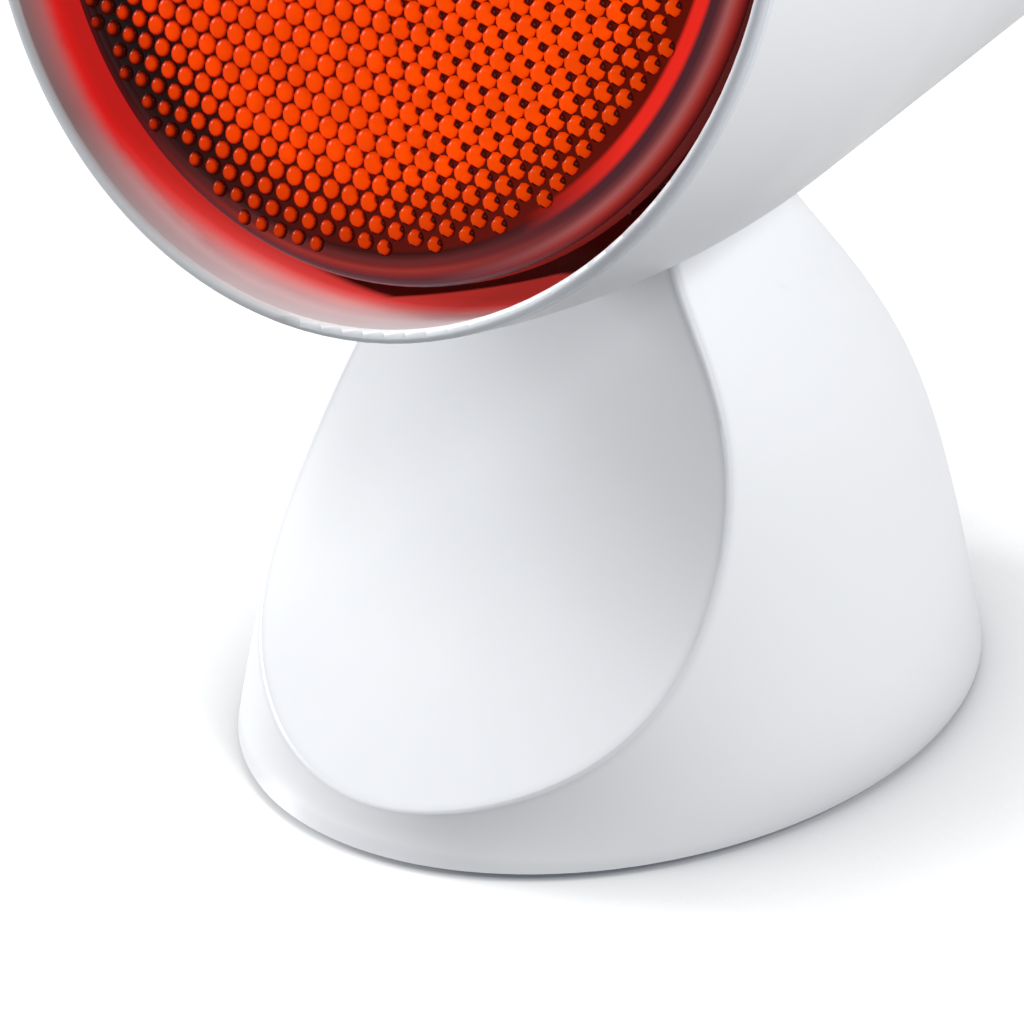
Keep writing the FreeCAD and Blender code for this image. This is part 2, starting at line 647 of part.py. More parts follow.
def make_terminal_block():
    """The screw terminal block on the base plate, with its wire ways and its clamp screws."""
    top = PLATE_TOP + " + block_tall"
    body = block("block_body", ("-block_x", "block_x"), ("block_at - block_y", "block_at + block_y"),
                 (PLATE_TOP, top))
    ways = both_sides(lambda end, sign: rod(
        "wire_way" + end, "wire_way", "block_at - block_y - 1", "block_at + block_y + 1",
        x=sign + "wire_way_x", z=PLATE_TOP + " + block_tall / 2", along="y"))
    wells = []
    screws = []
    for i, (sx, sy) in enumerate(CORNERS):
        place = (sx + "wire_way_x", "block_at " + (sy or "+") + " block_y / 2")
        wells.append(rod("clamp_well_%d" % i, "clamp_screw_radius + running_gap",
                         PLATE_TOP + " + block_tall / 2", top + " + 1", *place))
        screws.append(rod("clamp_screw_%d" % i, "clamp_screw_radius", PLATE_TOP + " + block_tall / 2 + 1",
                          top + " - 0.6", *place))
    finish("terminal_block", cut("block_cut", body, *(ways + wells)), on_stand)
    group = doc.addObject("Part::Compound", "clamp_screws")
    group.Links = screws
    finish("terminal_screws", group, on_stand)


# ---------------------------------------------------------------- rocker switch
def make_switch():
    """The snap-in rocker switch in the back of the stand."""
    bezel = block("bezel", ("-bezel_x", "bezel_x"), ("0", "bezel_thick"), ("-bezel_z", "bezel_z"))
    case = block("switch_case", ("-switch_x", "switch_x"), ("-switch_deep", "0"), ("-switch_z", "switch_z"))
    well = block("rocker_well", ("-well_x", "well_x"), ("-well_deep", "bezel_thick + 1"),
                 ("-well_z", "well_z"))
    bearing = rod("rocker_bearing", "trunnion_radius + running_gap", "-trunnion_reach - running_gap",
                  "trunnion_reach + running_gap", y="-rocker_sink", along="x")
    finish("switch_housing", cut("switch_cut", fuse("switch_blank", bezel, case), well, bearing), at_switch)

    blades = doc.addObject("Part::Compound", "switch_blades")
    blades.Links = [
        block("blade" + name, ("-blade_x", "blade_x"), ("-switch_deep - blade_long", "-switch_deep"),
              (sign + "blade_z - blade_thick / 2", sign + "blade_z + blade_thick / 2"))
        for name, sign in (("_upper", ""), ("_lower", "-"))]
    finish("switch_terminals", blades, at_switch)

    # The rocker in its own frame: origin on its pivot, y out of the panel.
    crest = "(rocker_sink + bezel_thick)"
    key = block("rocker_key", ("-rocker_x", "rocker_x"), ("-rocker_under", crest + " + rocker_sink"),
                ("-rocker_z", "rocker_z"))
    wedges = [put(block("rocker_wedge" + name, ("-rocker_x - 1", "rocker_x + 1"), ("0", "9"), ends),
                  "-rocker_x - 1", crest, "0", (1, 0, 0), turn)
              for name, ends, turn in (("_up", ("0", "20"), "-rocker_throw"),)]
    lower = block("rocker_wedge_down_blank", ("-rocker_x - 1", "rocker_x + 1"), ("0", "9"), ("-20", "0"))
    wedges.append(put(carry("rocker_wedge_down", lower), "0", crest, "0", (1, 0, 0), "rocker_throw"))
    pins = rod("rocker_pins", "trunnion_radius", "-trunnion_reach", "trunnion_reach", along="x")
    rocker = fuse("rocker_blank", cut("rocker_cut", key, *wedges), pins)
    pressed = put(carry("rocker_pressed", rocker), "0", "-rocker_sink", "0", (1, 0, 0), "rocker_throw")
    finish("switch_rocker", carry("rocker_in_switch", pressed), at_switch)


# ---------------------------------------------------------------- tilt hinge
def hex_bar(name, start, end):
    """A six-sided bar along x."""
    bar = tie(doc.addObject("Part::Prism", name), Circumradius="hex_across",
              Height="(" + end + ") - (" + start + ")")
    bar.Polygon = 6
    return put(bar, start, "0", "0", (0, 1, 0), "90")


def on_pivot(thing):
    """The pivot with the stand frame's axes."""
    put(thing, "0", "stand_y + pivot_y", "pivot_z")


def make_hinge():
    """Yoke, bolt, nut and washers on the stand, and the tongue on the shade."""
    ear_out = "(ear_inside + ear_thick)"
    drop = "(yoke_floor - pivot_z)"
    plate = block("yoke_plate", ("-yoke_x", "yoke_x"), ("-ear_round", "ear_round"),
                  (drop, drop + " + yoke_thick"))
    ears = []
    for name, start, end in (("_right", "ear_inside", ear_out), ("_left", "-" + ear_out, "-ear_inside")):
        ears.append(block("ear" + name, (start, end), ("-ear_round", "ear_round"), (drop, "0")))
        ears.append(rod("ear_top" + name, "ear_round", start, end, along="x"))
    yoke_holes = both_sides(lambda end, sign: rod(
        "yoke_screw_hole" + end, "screw_radius + screw_play", drop + " - 1", drop + " + yoke_thick + 1",
        sign + "yoke_screw_x", "0"))
    bolt_hole = rod("yoke_bolt_hole", "bolt_radius + running_gap", "-ear_inside - 5", "ear_inside + 5",
                    along="x")
    finish("tilt_yoke", cut("yoke_cut", fuse("yoke_blank", plate, *ears), bolt_hole, *yoke_holes), on_pivot)

    screws = doc.addObject("Part::Compound", "yoke_screw_pair")
    screws.Links = both_sides(lambda end, sign: pan_screw(
        "yoke_screw" + end, sign + "yoke_screw_x", "0", drop, drop + " + yoke_thick + yoke_screw_long"))
    finish("yoke_screws", screws, on_pivot)

    shank = rod("bolt_shank", "bolt_radius", "-bolt_tail", ear_out, along="x")
    finish("tilt_bolt", fuse("bolt", shank, hex_bar("bolt_head", ear_out, ear_out + " + hex_tall")),
           on_pivot)
    nut_start = "-" + ear_out + " - spring_thick - hex_tall"
    nut_way = rod("nut_way", "bolt_radius + running_gap", "-bolt_tail - 9", "0", along="x")
    finish("tilt_nut", cut("nut_cut", hex_bar("nut_blank", nut_start, nut_start + " + hex_tall"), nut_way),
           on_pivot)
    spring_way = rod("spring_way", "bolt_radius + running_gap", "-bolt_tail - 9", "0", along="x")
    coil = rod("spring_blank", "spring_radius", "-" + ear_out + " - spring_thick", "-" + ear_out, along="x")
    split = block("spring_slit", ("-bolt_tail", "0"), ("0", "spring_radius + 1"),
                  ("-spring_split", "spring_split"))
    finish("spring_washer", cut("spring_cut", coil, spring_way, split), on_pivot)
    washer_way = rod("washer_way", "bolt_radius + running_gap", "-9", "9", along="x")
    washer_blanks = fuse(
        "washer_blanks",
        rod("washer_right", "washer_radius", "tongue_x + washer_gap", "ear_inside", along="x"),
        rod("washer_left", "washer_radius", "-ear_inside", "-tongue_x - washer_gap", along="x"))
    finish("friction_washers", cut("washer_cut", washer_blanks, washer_way), on_pivot)

    front = "-bracket_front"
    low = "-bracket_low"
    top = low + " + bracket_thick"
    seat = block("tongue_plate", ("-bracket_x", "bracket_x"), (front, "-tongue_round * 2"), (low, top))
    rib = block("tongue_rib", ("-tongue_x", "tongue_x"), ("-bracket_screw_y + rib_short", "0"),
                (low, "tongue_round / 2"))
    knuckle = rod("tongue_knuckle", "tongue_round", "-tongue_x", "tongue_x", along="x")
    bore = rod("tongue_bore", "bolt_radius + running_gap", "-9", "9", along="x")
    holes = both_sides(lambda end, sign: rod(
        "tongue_hole" + end, "screw_radius + screw_play", low + " - 1", top + " + 1",
        sign + "bracket_screw_x", "-bracket_screw_y"))
    finish("tilt_tongue", cut("tongue_cut", fuse("tongue_blank", seat, rib, knuckle), bore, *holes), on_hinge)
    pair = []
    for name, sign in (("_right", ""), ("_left", "-")):
        head = rod("tongue_screw_head" + name, "screw_head_radius", top, top + " + screw_head_tall",
                   sign + "bracket_screw_x", "-bracket_screw_y")
        stem = rod("tongue_screw_stem" + name, "screw_radius", low + " - tongue_screw_long", top,
                   sign + "bracket_screw_x", "-bracket_screw_y")
        pair.append(fuse("tongue_screw" + name, head, stem))
    screw_pair = doc.addObject("Part::Compound", "tongue_screw_pair")
    screw_pair.Links = pair
    finish("tongue_screws", screw_pair, on_hinge)


# ---------------------------------------------------------------- shade and rear cap
def make_shade():
    """The bell-shaped shade with its rolled lip, its inner bosses and the slot for the yoke."""
    inner = "shade_wall"
    skin = turned("shade_skin", [
        (RIM_RADIUS + " - " + inner, "lip_bead"),
        (RIM_RADIUS, "lip_bead"),
        (RIM_RADIUS, "lip_long"),
        (RIM_RADIUS + " - lip_groove", "lip_long + lip_groove"),
        (RIM_RADIUS + " - lip_step", "lip_long + 2 * lip_groove"),
        ("bend_radius", "bend_back"),
        (SHADE_END_RADIUS, "shade_end"),
        (SHADE_END_RADIUS + " - shade_wall / cos(cone)", "shade_end"),
        ("bend_radius - shade_wall * cos(cone)", "bend_back - shade_wall * sin(cone)"),
    ], {0: ("lip_bead", number("lip_bead"), 1),
        4: ("shade_bow", number("shade_bow"), 1),
        8: ("shade_bow - shade_wall", number("shade_bow") - number("shade_wall"), -1)})
    space = shade_space("shade_solid", "0")
    arm_bosses = both_sides(lambda end, sign: rod(
        "arm_boss" + end, "arm_boss_radius", "arm_boss_top - arm_boss_long", "arm_boss_top",
        sign + "arm_boss_x"))
    webs = [block("arm_web_right", ("arm_boss_x", RIM_RADIUS), ("-web_thick / 2", "web_thick / 2"),
                  ("arm_boss_top - arm_boss_long", "arm_boss_top")),
            block("arm_web_left", ("-" + RIM_RADIUS, "-arm_boss_x"), ("-web_thick / 2", "web_thick / 2"),
                  ("arm_boss_top - arm_boss_long", "arm_boss_top"))]
    seats = both_sides(lambda end, sign: rod(
        "tongue_boss" + end, "arm_boss_radius", "-pivot_depth - 9", "-bracket_low",
        sign + "bracket_screw_x", "-bracket_screw_y"))
    bosses = common("shade_bosses", space, fuse(
        "shade_boss_blanks", *arm_bosses, *webs, hinge_in_head(fuse("tongue_seats", *seats))))
    arm_holes = both_sides(lambda end, sign: rod(
        "arm_hole" + end, "screw_radius + screw_play", "arm_boss_top - arm_screw_long - pilot_spare",
        "arm_boss_top + 1", sign + "arm_boss_x"))
    seat_holes = both_sides(lambda end, sign: rod(
        "tongue_pilot" + end, "screw_radius + screw_play",
        "-bracket_low - tongue_screw_long - pilot_spare", "-bracket_low + 1",
        sign + "bracket_screw_x", "-bracket_screw_y"))
    reach = "ear_inside + ear_thick + slot_side_gap"
    swing = "pivot_depth * tan(tilt_travel) + ear_round / cos(tilt_travel) + slot_back_gap"
    slot = block("yoke_slot", ("-(" + reach + ")", reach), ("-ear_round - slot_front_gap", swing),
                 ("-pivot_depth - 6", "-bracket_low - 1"))
    openings = hinge_in_head(fuse("shade_openings", slot, *seat_holes))
    finish("lamp_shade", cut("shade_cut", fuse("shade_with_bosses", skin, bosses), openings, *arm_holes),
           in_head)


def make_cap():
    """The vented cap that closes the back of the shade."""
    wall = "shade_wall / cos(cone)"
    start = SHADE_END_RADIUS + " - " + wall + " - spigot_gap"
    nose = cone_radius("(shade_end - spigot_long)") + " - " + wall + " - spigot_gap"
    body = turned("cap_form", [
        (SHADE_END_RADIUS, "shade_end"),
        (cone_radius("cap_bend"), "cap_bend"),
        ("cap_flat", "cap_end"),
        ("0", "cap_end"),
        ("0", "cap_end - shade_wall"),
        ("cap_flat - shade_wall / 2", "cap_end - shade_wall"),
        (cone_radius("cap_bend") + " - " + wall, "cap_bend"),
        (cone_radius("(shade_end + spigot_wall)") + " - " + wall + " - spigot_wall",
         "shade_end + spigot_wall"),
        (nose + " - spigot_wall", "shade_end - spigot_long"),
        (nose, "shade_end - spigot_long"),
        (start, "shade_end"),
    ], {1: ("cap_bow", number("cap_bow"), 1),
        5: ("cap_bow - shade_wall", number("cap_bow") - number("shade_wall"), -1)})
    sketch = body.newObject("Sketcher::SketchObject", "air_slot_outline")
    sketch.AttachmentSupport = (origin_plane(body, "YZ_Plane"), [""])
    sketch.MapMode = "FlatFace"
    half = number("cap_slot_width") / 2
    low = number("cap_slot_front") + half
    high = low + number("cap_slot_long") - 2 * half
    round_end = [Part.Circle(Vector(0, place, 0), Vector(0, 0, 1), half) for place in (low, high)]
    sketch.addGeometry(Part.ArcOfCircle(round_end[1], 0, math.pi), False)
    sketch.addGeometry(Part.LineSegment(Vector(-half, high, 0), Vector(-half, low, 0)), False)
    sketch.addGeometry(Part.ArcOfCircle(round_end[0], math.pi, 2 * math.pi), False)
    sketch.addGeometry(Part.LineSegment(Vector(half, low, 0), Vector(half, high, 0)), False)
    for edge, other in ((0, 1), (1, 2), (2, 3), (3, 0)):
        sketch.addConstraint(Sketcher.Constraint("Tangent", edge, 2, other, 1))
    sketch.addConstraint(Sketcher.Constraint("PointOnObject", 0, 3, -2))
    sketch.addConstraint(Sketcher.Constraint("PointOnObject", 2, 3, -2))
    for kind, text, arguments in (
            ("Radius", "cap_slot_width / 2", (0, half)),
            ("DistanceY", "cap_slot_front + cap_slot_width / 2", (-1, 1, 2, 3, low)),
            ("DistanceY", "cap_slot_front + cap_slot_long - cap_slot_width / 2", (-1, 1, 0, 3, high))):
        place = sketch.addConstraint(Sketcher.Constraint(kind, *arguments))
        sketch.setExpression("Constraints[%d]" % place, cells(text))
    slot = body.newObject("PartDesign::Pocket", "air_slot")
    slot.Profile = sketch
    slot.Reversed = True
    tie(slot, Length=RIM_RADIUS)
    body.Tip = slot
    doc.recompute()
    ring = body.newObject("PartDesign::PolarPattern", "air_slot_ring")
    ring.Originals = [slot]
    ring.Axis = (origin_axis(body, "Z_Axis"), [""])
    ring.Angle = 360
    tie(ring, Occurrences="cap_slots")
    body.Tip = ring
    doc.recompute()
    finish("rear_cap", body, in_head)


def origin_axis(body, role):
    """One of a body's own origin axes."""
    return [axis for axis in body.Origin.OriginFeatures if axis.Role == role][0]


# ---------------------------------------------------------------- bulb
def make_bulb():
    """The pressed-glass bulb: lens, reflector, collar, screw cap, end contact and filament."""
    sag = number("lens_sag")
    edge = number("lens_radius")
    inside = number("reflector_inside")
    dome = "((lens_radius * lens_radius + lens_sag * lens_sag) / (2 * lens_sag))"
    hollow_sag = "(seam_back - lens_recess + lens_sag - lens_thick)"
    hollow = ("((reflector_inside * reflector_inside + " + hollow_sag + " * " + hollow_sag
              + ") / (2 * " + hollow_sag + "))")
    flange_deep = number("seam_back") - number("lens_recess")
    hollow_start = flange_deep + sag - number("lens_thick")
    chord = math.hypot(number("flange_radius") - edge, flange_deep)
    finish("bulb_lens", turned("lens", [
        ("0", LENS_FRONT),
        ("lens_radius", "lens_recess"),
        ("flange_radius", "seam_back"),
        ("reflector_inside", "seam_back"),
        ("0", LENS_FRONT + " + lens_thick"),
    ], {0: (dome, (edge ** 2 + sag ** 2) / (2 * sag), 1),
        1: (FLANGE_CHORD + " / sqrt(2)", chord / math.sqrt(2), 1),
        3: (hollow, (inside ** 2 + hollow_start ** 2) / (2 * hollow_start), -1)}), in_head)
    finish("bulb_reflector", turned("reflector", [
        ("flange_radius", "seam_back"),
        ("flange_radius", "flange_back"),
        ("shoulder_radius", "reflector_start"),
        ("neck_radius", "neck_back"),
        ("0", "neck_back"),
        ("0", "neck_back - glass"),
        ("neck_radius - neck_glass", "neck_back - glass"),
        ("reflector_inside", "seam_back"),
    ], {2: ("reflector_bow", number("reflector_bow"), 1),
        6: ("reflector_bow - glass", number("reflector_bow") - number("glass"), -1)}), in_head)
    finish("bulb_collar", turned("collar", [
        ("neck_radius", "neck_back"),
        ("neck_radius - collar_taper", "collar_mid"),
        ("screw_cap_radius + collar_seat", "collar_back"),
        ("screw_cap_radius + collar_seat - collar_wall", "collar_back"),
        ("neck_radius - collar_taper - collar_wall", "collar_mid"),
        ("neck_radius - collar_wall", "neck_back"),
    ]), in_head)
    ridges = []
    for turn in range(int(number("thread_turns"))):
        for share, deep in ((0.0, 1), (0.25, 0), (0.5, 0), (0.75, 1)):
            ridges.append(("screw_cap_radius - %d * thread_deep" % deep,
                           "collar_back + %s * thread_pitch" % (turn + share)))
    finish("bulb_screw_cap", turned("screw_cap", ridges + [
        ("screw_cap_radius - thread_deep", THREAD_END),
        ("screw_cap_radius - thread_deep - screw_cap_wall", THREAD_END),
        ("screw_cap_radius - thread_deep - screw_cap_wall", "collar_back"),
    ]), in_head)
    glass_end = THREAD_END + " + insulator_long"
    finish("bulb_insulator", turned("insulator", [
        ("0", THREAD_END), ("screw_cap_radius - thread_deep", THREAD_END),
        ("contact_radius", glass_end), ("0", glass_end)]), in_head)
    finish("bulb_contact", rod("end_contact", "contact_radius", "0", "contact_long"), in_head_at(glass_end))
    supports = doc.addObject("Part::Compound", "support_pair")
    supports.Links = both_sides(lambda end, sign: rod(
        "support" + end, "support_radius", "support_front", "neck_back - glass", sign + "support_x"))
    finish("filament_supports", supports, in_head)
    coil = tie(doc.addObject("Part::Torus", "coil"), Radius1="support_x", Radius2="filament_radius",
               Angle3="180")
    put(coil, z="support_front - filament_radius")
    finish("filament", carry("filament_half_ring", coil), in_head)


def in_head_at(back):
    """Head frame, moved back along the shade's axis."""
    def frame(thing):
        put(thing, "0",
            "stand_y + pivot_y + sin(tilt) * " + PIVOT_DOWN + " + cos(tilt) * (" + back + " - pivot_back)",
            "pivot_z + cos(tilt) * " + PIVOT_DOWN + " - sin(tilt) * (" + back + " - pivot_back)",
            (1, 0, 0), "-90 - tilt")
    return frame


# ---------------------------------------------------------------- lampholder
def make_holder():
    """The porcelain lampholder, its threaded sleeve and contact, and the bracket that carries it."""
    sleeve_in = "screw_cap_radius + sleeve_gap"
    well = sleeve_in + " + sleeve_wall + running_gap"
    bowl = turned("holder_bowl", [
        (well, "holder_front"),
        ("holder_neck", "holder_front"),
        ("holder_radius", "holder_front + holder_shoulder"),
        ("holder_radius", "holder_back - holder_edge"),
        ("holder_neck", "holder_back"),
        ("0", "holder_back"),
        ("0", "holder_floor"),
        (well, "holder_floor"),
    ])
    screw_wells = both_sides(lambda end, sign: rod(
        "holder_pilot" + end, "screw_radius + screw_play", "holder_back - holder_screw_deep",
        "holder_back + 1", sign + "holder_screw_x"))
    finish("lampholder", cut("holder_cut", bowl, *screw_wells), in_head)
    finish("holder_sleeve", turned("sleeve", [
        (sleeve_in, "holder_front + sleeve_short"),
        (sleeve_in + " + sleeve_wall", "holder_front + sleeve_short"),
        (sleeve_in + " + sleeve_wall", "holder_floor"),
        (sleeve_in, "holder_floor"),
    ]), in_head)
    spring_start = THREAD_END + " + insulator_long + contact_long"
    finish("holder_contact",
           rod("centre_contact", "contact_spring", "0", "holder_floor - (" + spring_start + ")"),
           in_head_at("(" + spring_start + ")"))

    top = "holder_back + arm_thick"
    strips = [block("holder_strip", ("-arm_inside - arm_thick", "arm_inside + arm_thick"),
                    ("-arm_half", "arm_half"), ("holder_back", top))]
    for name, inside, outside, foot in (("_right", "arm_inside", "arm_inside + arm_thick", "arm_foot"),
                                        ("_left", "-arm_inside", "-arm_inside - arm_thick", "-arm_foot")):
        low, high = (inside, outside) if name == "_right" else (outside, inside)
        strips.append(block("holder_arm" + name, (low, high), ("-arm_half", "arm_half"),
                            ("arm_boss_top", top)))
        low, high = (inside, foot) if name == "_right" else (foot, inside)
        strips.append(block("holder_foot" + name, (low, high), ("-arm_half", "arm_half"),
                            ("arm_boss_top", "arm_boss_top + arm_thick")))
    holes = both_sides(lambda end, sign: rod(
        "arm_screw_hole" + end, "screw_radius + screw_play", "arm_boss_top - 1",
        "arm_boss_top + arm_thick + 1", sign + "arm_boss_x"))
    holes += both_sides(lambda end, sign: rod(
        "strip_hole" + end, "screw_radius + screw_play", "holder_back - 1", top + " + 1",
        sign + "holder_screw_x"))
    finish("holder_bracket", cut("bracket_cut", fuse("bracket_blank", *strips), *holes), in_head)

    for label, place, seat, tip in (
            ("bracket_screws", "arm_boss_x", "arm_boss_top + arm_thick", "arm_boss_top - arm_screw_long"),
            ("holder_screws", "holder_screw_x", top, "holder_back - holder_screw_deep + pilot_spare")):
        pair = doc.addObject("Part::Compound", label + "_pair")
        pair.Links = both_sides(lambda end, sign: fuse(
            label + end,
            rod(label + "_head" + end, "screw_head_radius", seat, seat + " + screw_head_tall", sign + place),
            rod(label + "_shank" + end, "screw_radius", tip, seat, sign + place)))
        finish(label, pair, in_head)


make_stand()
make_base()
make_inlet()
make_terminal_block()
make_switch()
make_hinge()
make_shade()
make_cap()
make_bulb()
make_holder()
doc.recompute()

# ---------------------------------------------------------------- check and write
for thing in doc.Objects:
    if "Invalid" in thing.State or "Error" in thing.State:
        raise RuntimeError(thing.Name + " failed: " + str(thing.State))
os.makedirs("parts", exist_ok=True)
for label, thing in finished.items():
    shape = thing.Shape
    if shape.isNull() or not shape.isValid() or not shape.Solids:
        raise RuntimeError(label + " has no valid solid")
    shape.exportStep("parts/" + label + ".step")
    print("%-18s %d solid(s) %10.1f mm3" % (label, len(shape.Solids), shape.Volume))
box = FreeCAD.BoundBox()
for thing in finished.values():
    box.add(thing.Shape.BoundBox)
print("box x %.2f %.2f  y %.2f %.2f  z %.2f %.2f" % (
    box.XMin, box.XMax, box.YMin, box.YMax, box.ZMin, box.ZMax))
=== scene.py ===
"""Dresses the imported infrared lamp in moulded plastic, glass, metal and rubber.

It adds the beads of the bulb's lens, then the floor, the lights and the camera.
"""
import json
import math

import bpy
from mathutils import Matrix, Vector


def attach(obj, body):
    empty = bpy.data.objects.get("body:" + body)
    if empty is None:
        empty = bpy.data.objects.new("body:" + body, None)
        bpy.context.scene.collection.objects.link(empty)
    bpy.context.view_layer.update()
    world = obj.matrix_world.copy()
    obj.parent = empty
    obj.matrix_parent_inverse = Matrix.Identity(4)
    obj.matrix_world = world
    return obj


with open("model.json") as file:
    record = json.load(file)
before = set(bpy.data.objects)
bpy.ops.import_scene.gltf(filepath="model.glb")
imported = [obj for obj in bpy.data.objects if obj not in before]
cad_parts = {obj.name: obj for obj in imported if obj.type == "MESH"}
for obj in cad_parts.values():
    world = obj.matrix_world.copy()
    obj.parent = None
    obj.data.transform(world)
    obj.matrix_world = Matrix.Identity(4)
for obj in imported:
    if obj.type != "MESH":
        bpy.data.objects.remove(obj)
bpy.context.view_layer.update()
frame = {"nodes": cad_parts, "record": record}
nodes = frame["nodes"]
scene = bpy.context.scene
MM = 0.001

# ---------------------------------------------------------------- places, in metres
FOOT_MIDDLE = Vector((0, -15.46 * MM, 0))       # middle of the stand's foot on the floor
TILT = math.radians(16.88)                      # shade's axis above level
MOUTH = Vector((0, -70.95 * MM, 153.55 * MM))   # middle of the shade's mouth
SHADE_DOWN = Vector((0, -math.sin(TILT), -math.cos(TILT)))
SHADE_BACK = Vector((0, math.cos(TILT), -math.sin(TILT)))
HEAD = Matrix((
    (1, SHADE_DOWN.x, SHADE_BACK.x, MOUTH.x),
    (0, SHADE_DOWN.y, SHADE_BACK.y, MOUTH.y),
    (0, SHADE_DOWN.z, SHADE_BACK.z, MOUTH.z),
    (0, 0, 0, 1)))

# Places on the head are measured back from the shade's mouth, out from the shade's axis (reach)
# and across it, from the left (minus) to the right (plus) of someone who looks into the shade.
WALL_AT_MOUTH = 66.95 * MM      # reach of the middle of the shade's wall at the mouth
WALL_SLOPE = 0.036              # how fast the wall closes in behind the mouth
WALL_CURVE = 2.2                # how much faster it closes in further back, per metre
WALL_END = 110 * MM             # nothing further back is inner wall, so the rear cap's face stays white


# ---------------------------------------------------------------- camera
CAMERA_TURN = math.radians(38.658)      # round the lamp from its front, towards +X
CAMERA_RISE = math.radians(28.080)      # above level
CAMERA_AWAY = 1.2                       # metres from the foot's middle, along the view
CAMERA_ASIDE = -14.968 * MM
CAMERA_UP = 24.859 * MM
SENSOR = 36                             # millimetres
PICTURE = 1024                          # pixels along a side of the picture
FOCAL_LENGTH = 8120.9                   # in the same pixels


def set_camera():
    turn, rise = CAMERA_TURN, CAMERA_RISE
    back = Vector((math.sin(turn) * math.cos(rise), -math.cos(turn) * math.cos(rise), math.sin(rise)))
    right = Vector((math.cos(turn), math.sin(turn), 0))
    up = back.cross(right)
    data = bpy.data.cameras.new("camera")
    data.sensor_width = SENSOR
    data.lens = FOCAL_LENGTH * SENSOR / PICTURE
    data.clip_start = 0.05
    data.clip_end = 20
    camera = bpy.data.objects.new("camera", data)
    scene.collection.objects.link(camera)
    place = back * CAMERA_AWAY + right * CAMERA_ASIDE + up * CAMERA_UP + FOOT_MIDDLE
    camera.matrix_world = Matrix((
        (right.x, up.x, back.x, place.x),
        (right.y, up.y, back.y, place.y),
        (right.z, up.z, back.z, place.z),
        (0, 0, 0, 1)))
    scene.camera = camera


set_camera()


# ---------------------------------------------------------------- material building
MIRRORED = 0.75     # how bright the white surroundings are in a reflection, which darkens the outlines
MIX_FIRST = 6       # the colour sockets of a mix node, whose names are the same for every kind of value
MIX_SECOND = 7
MIX_RESULT = 2


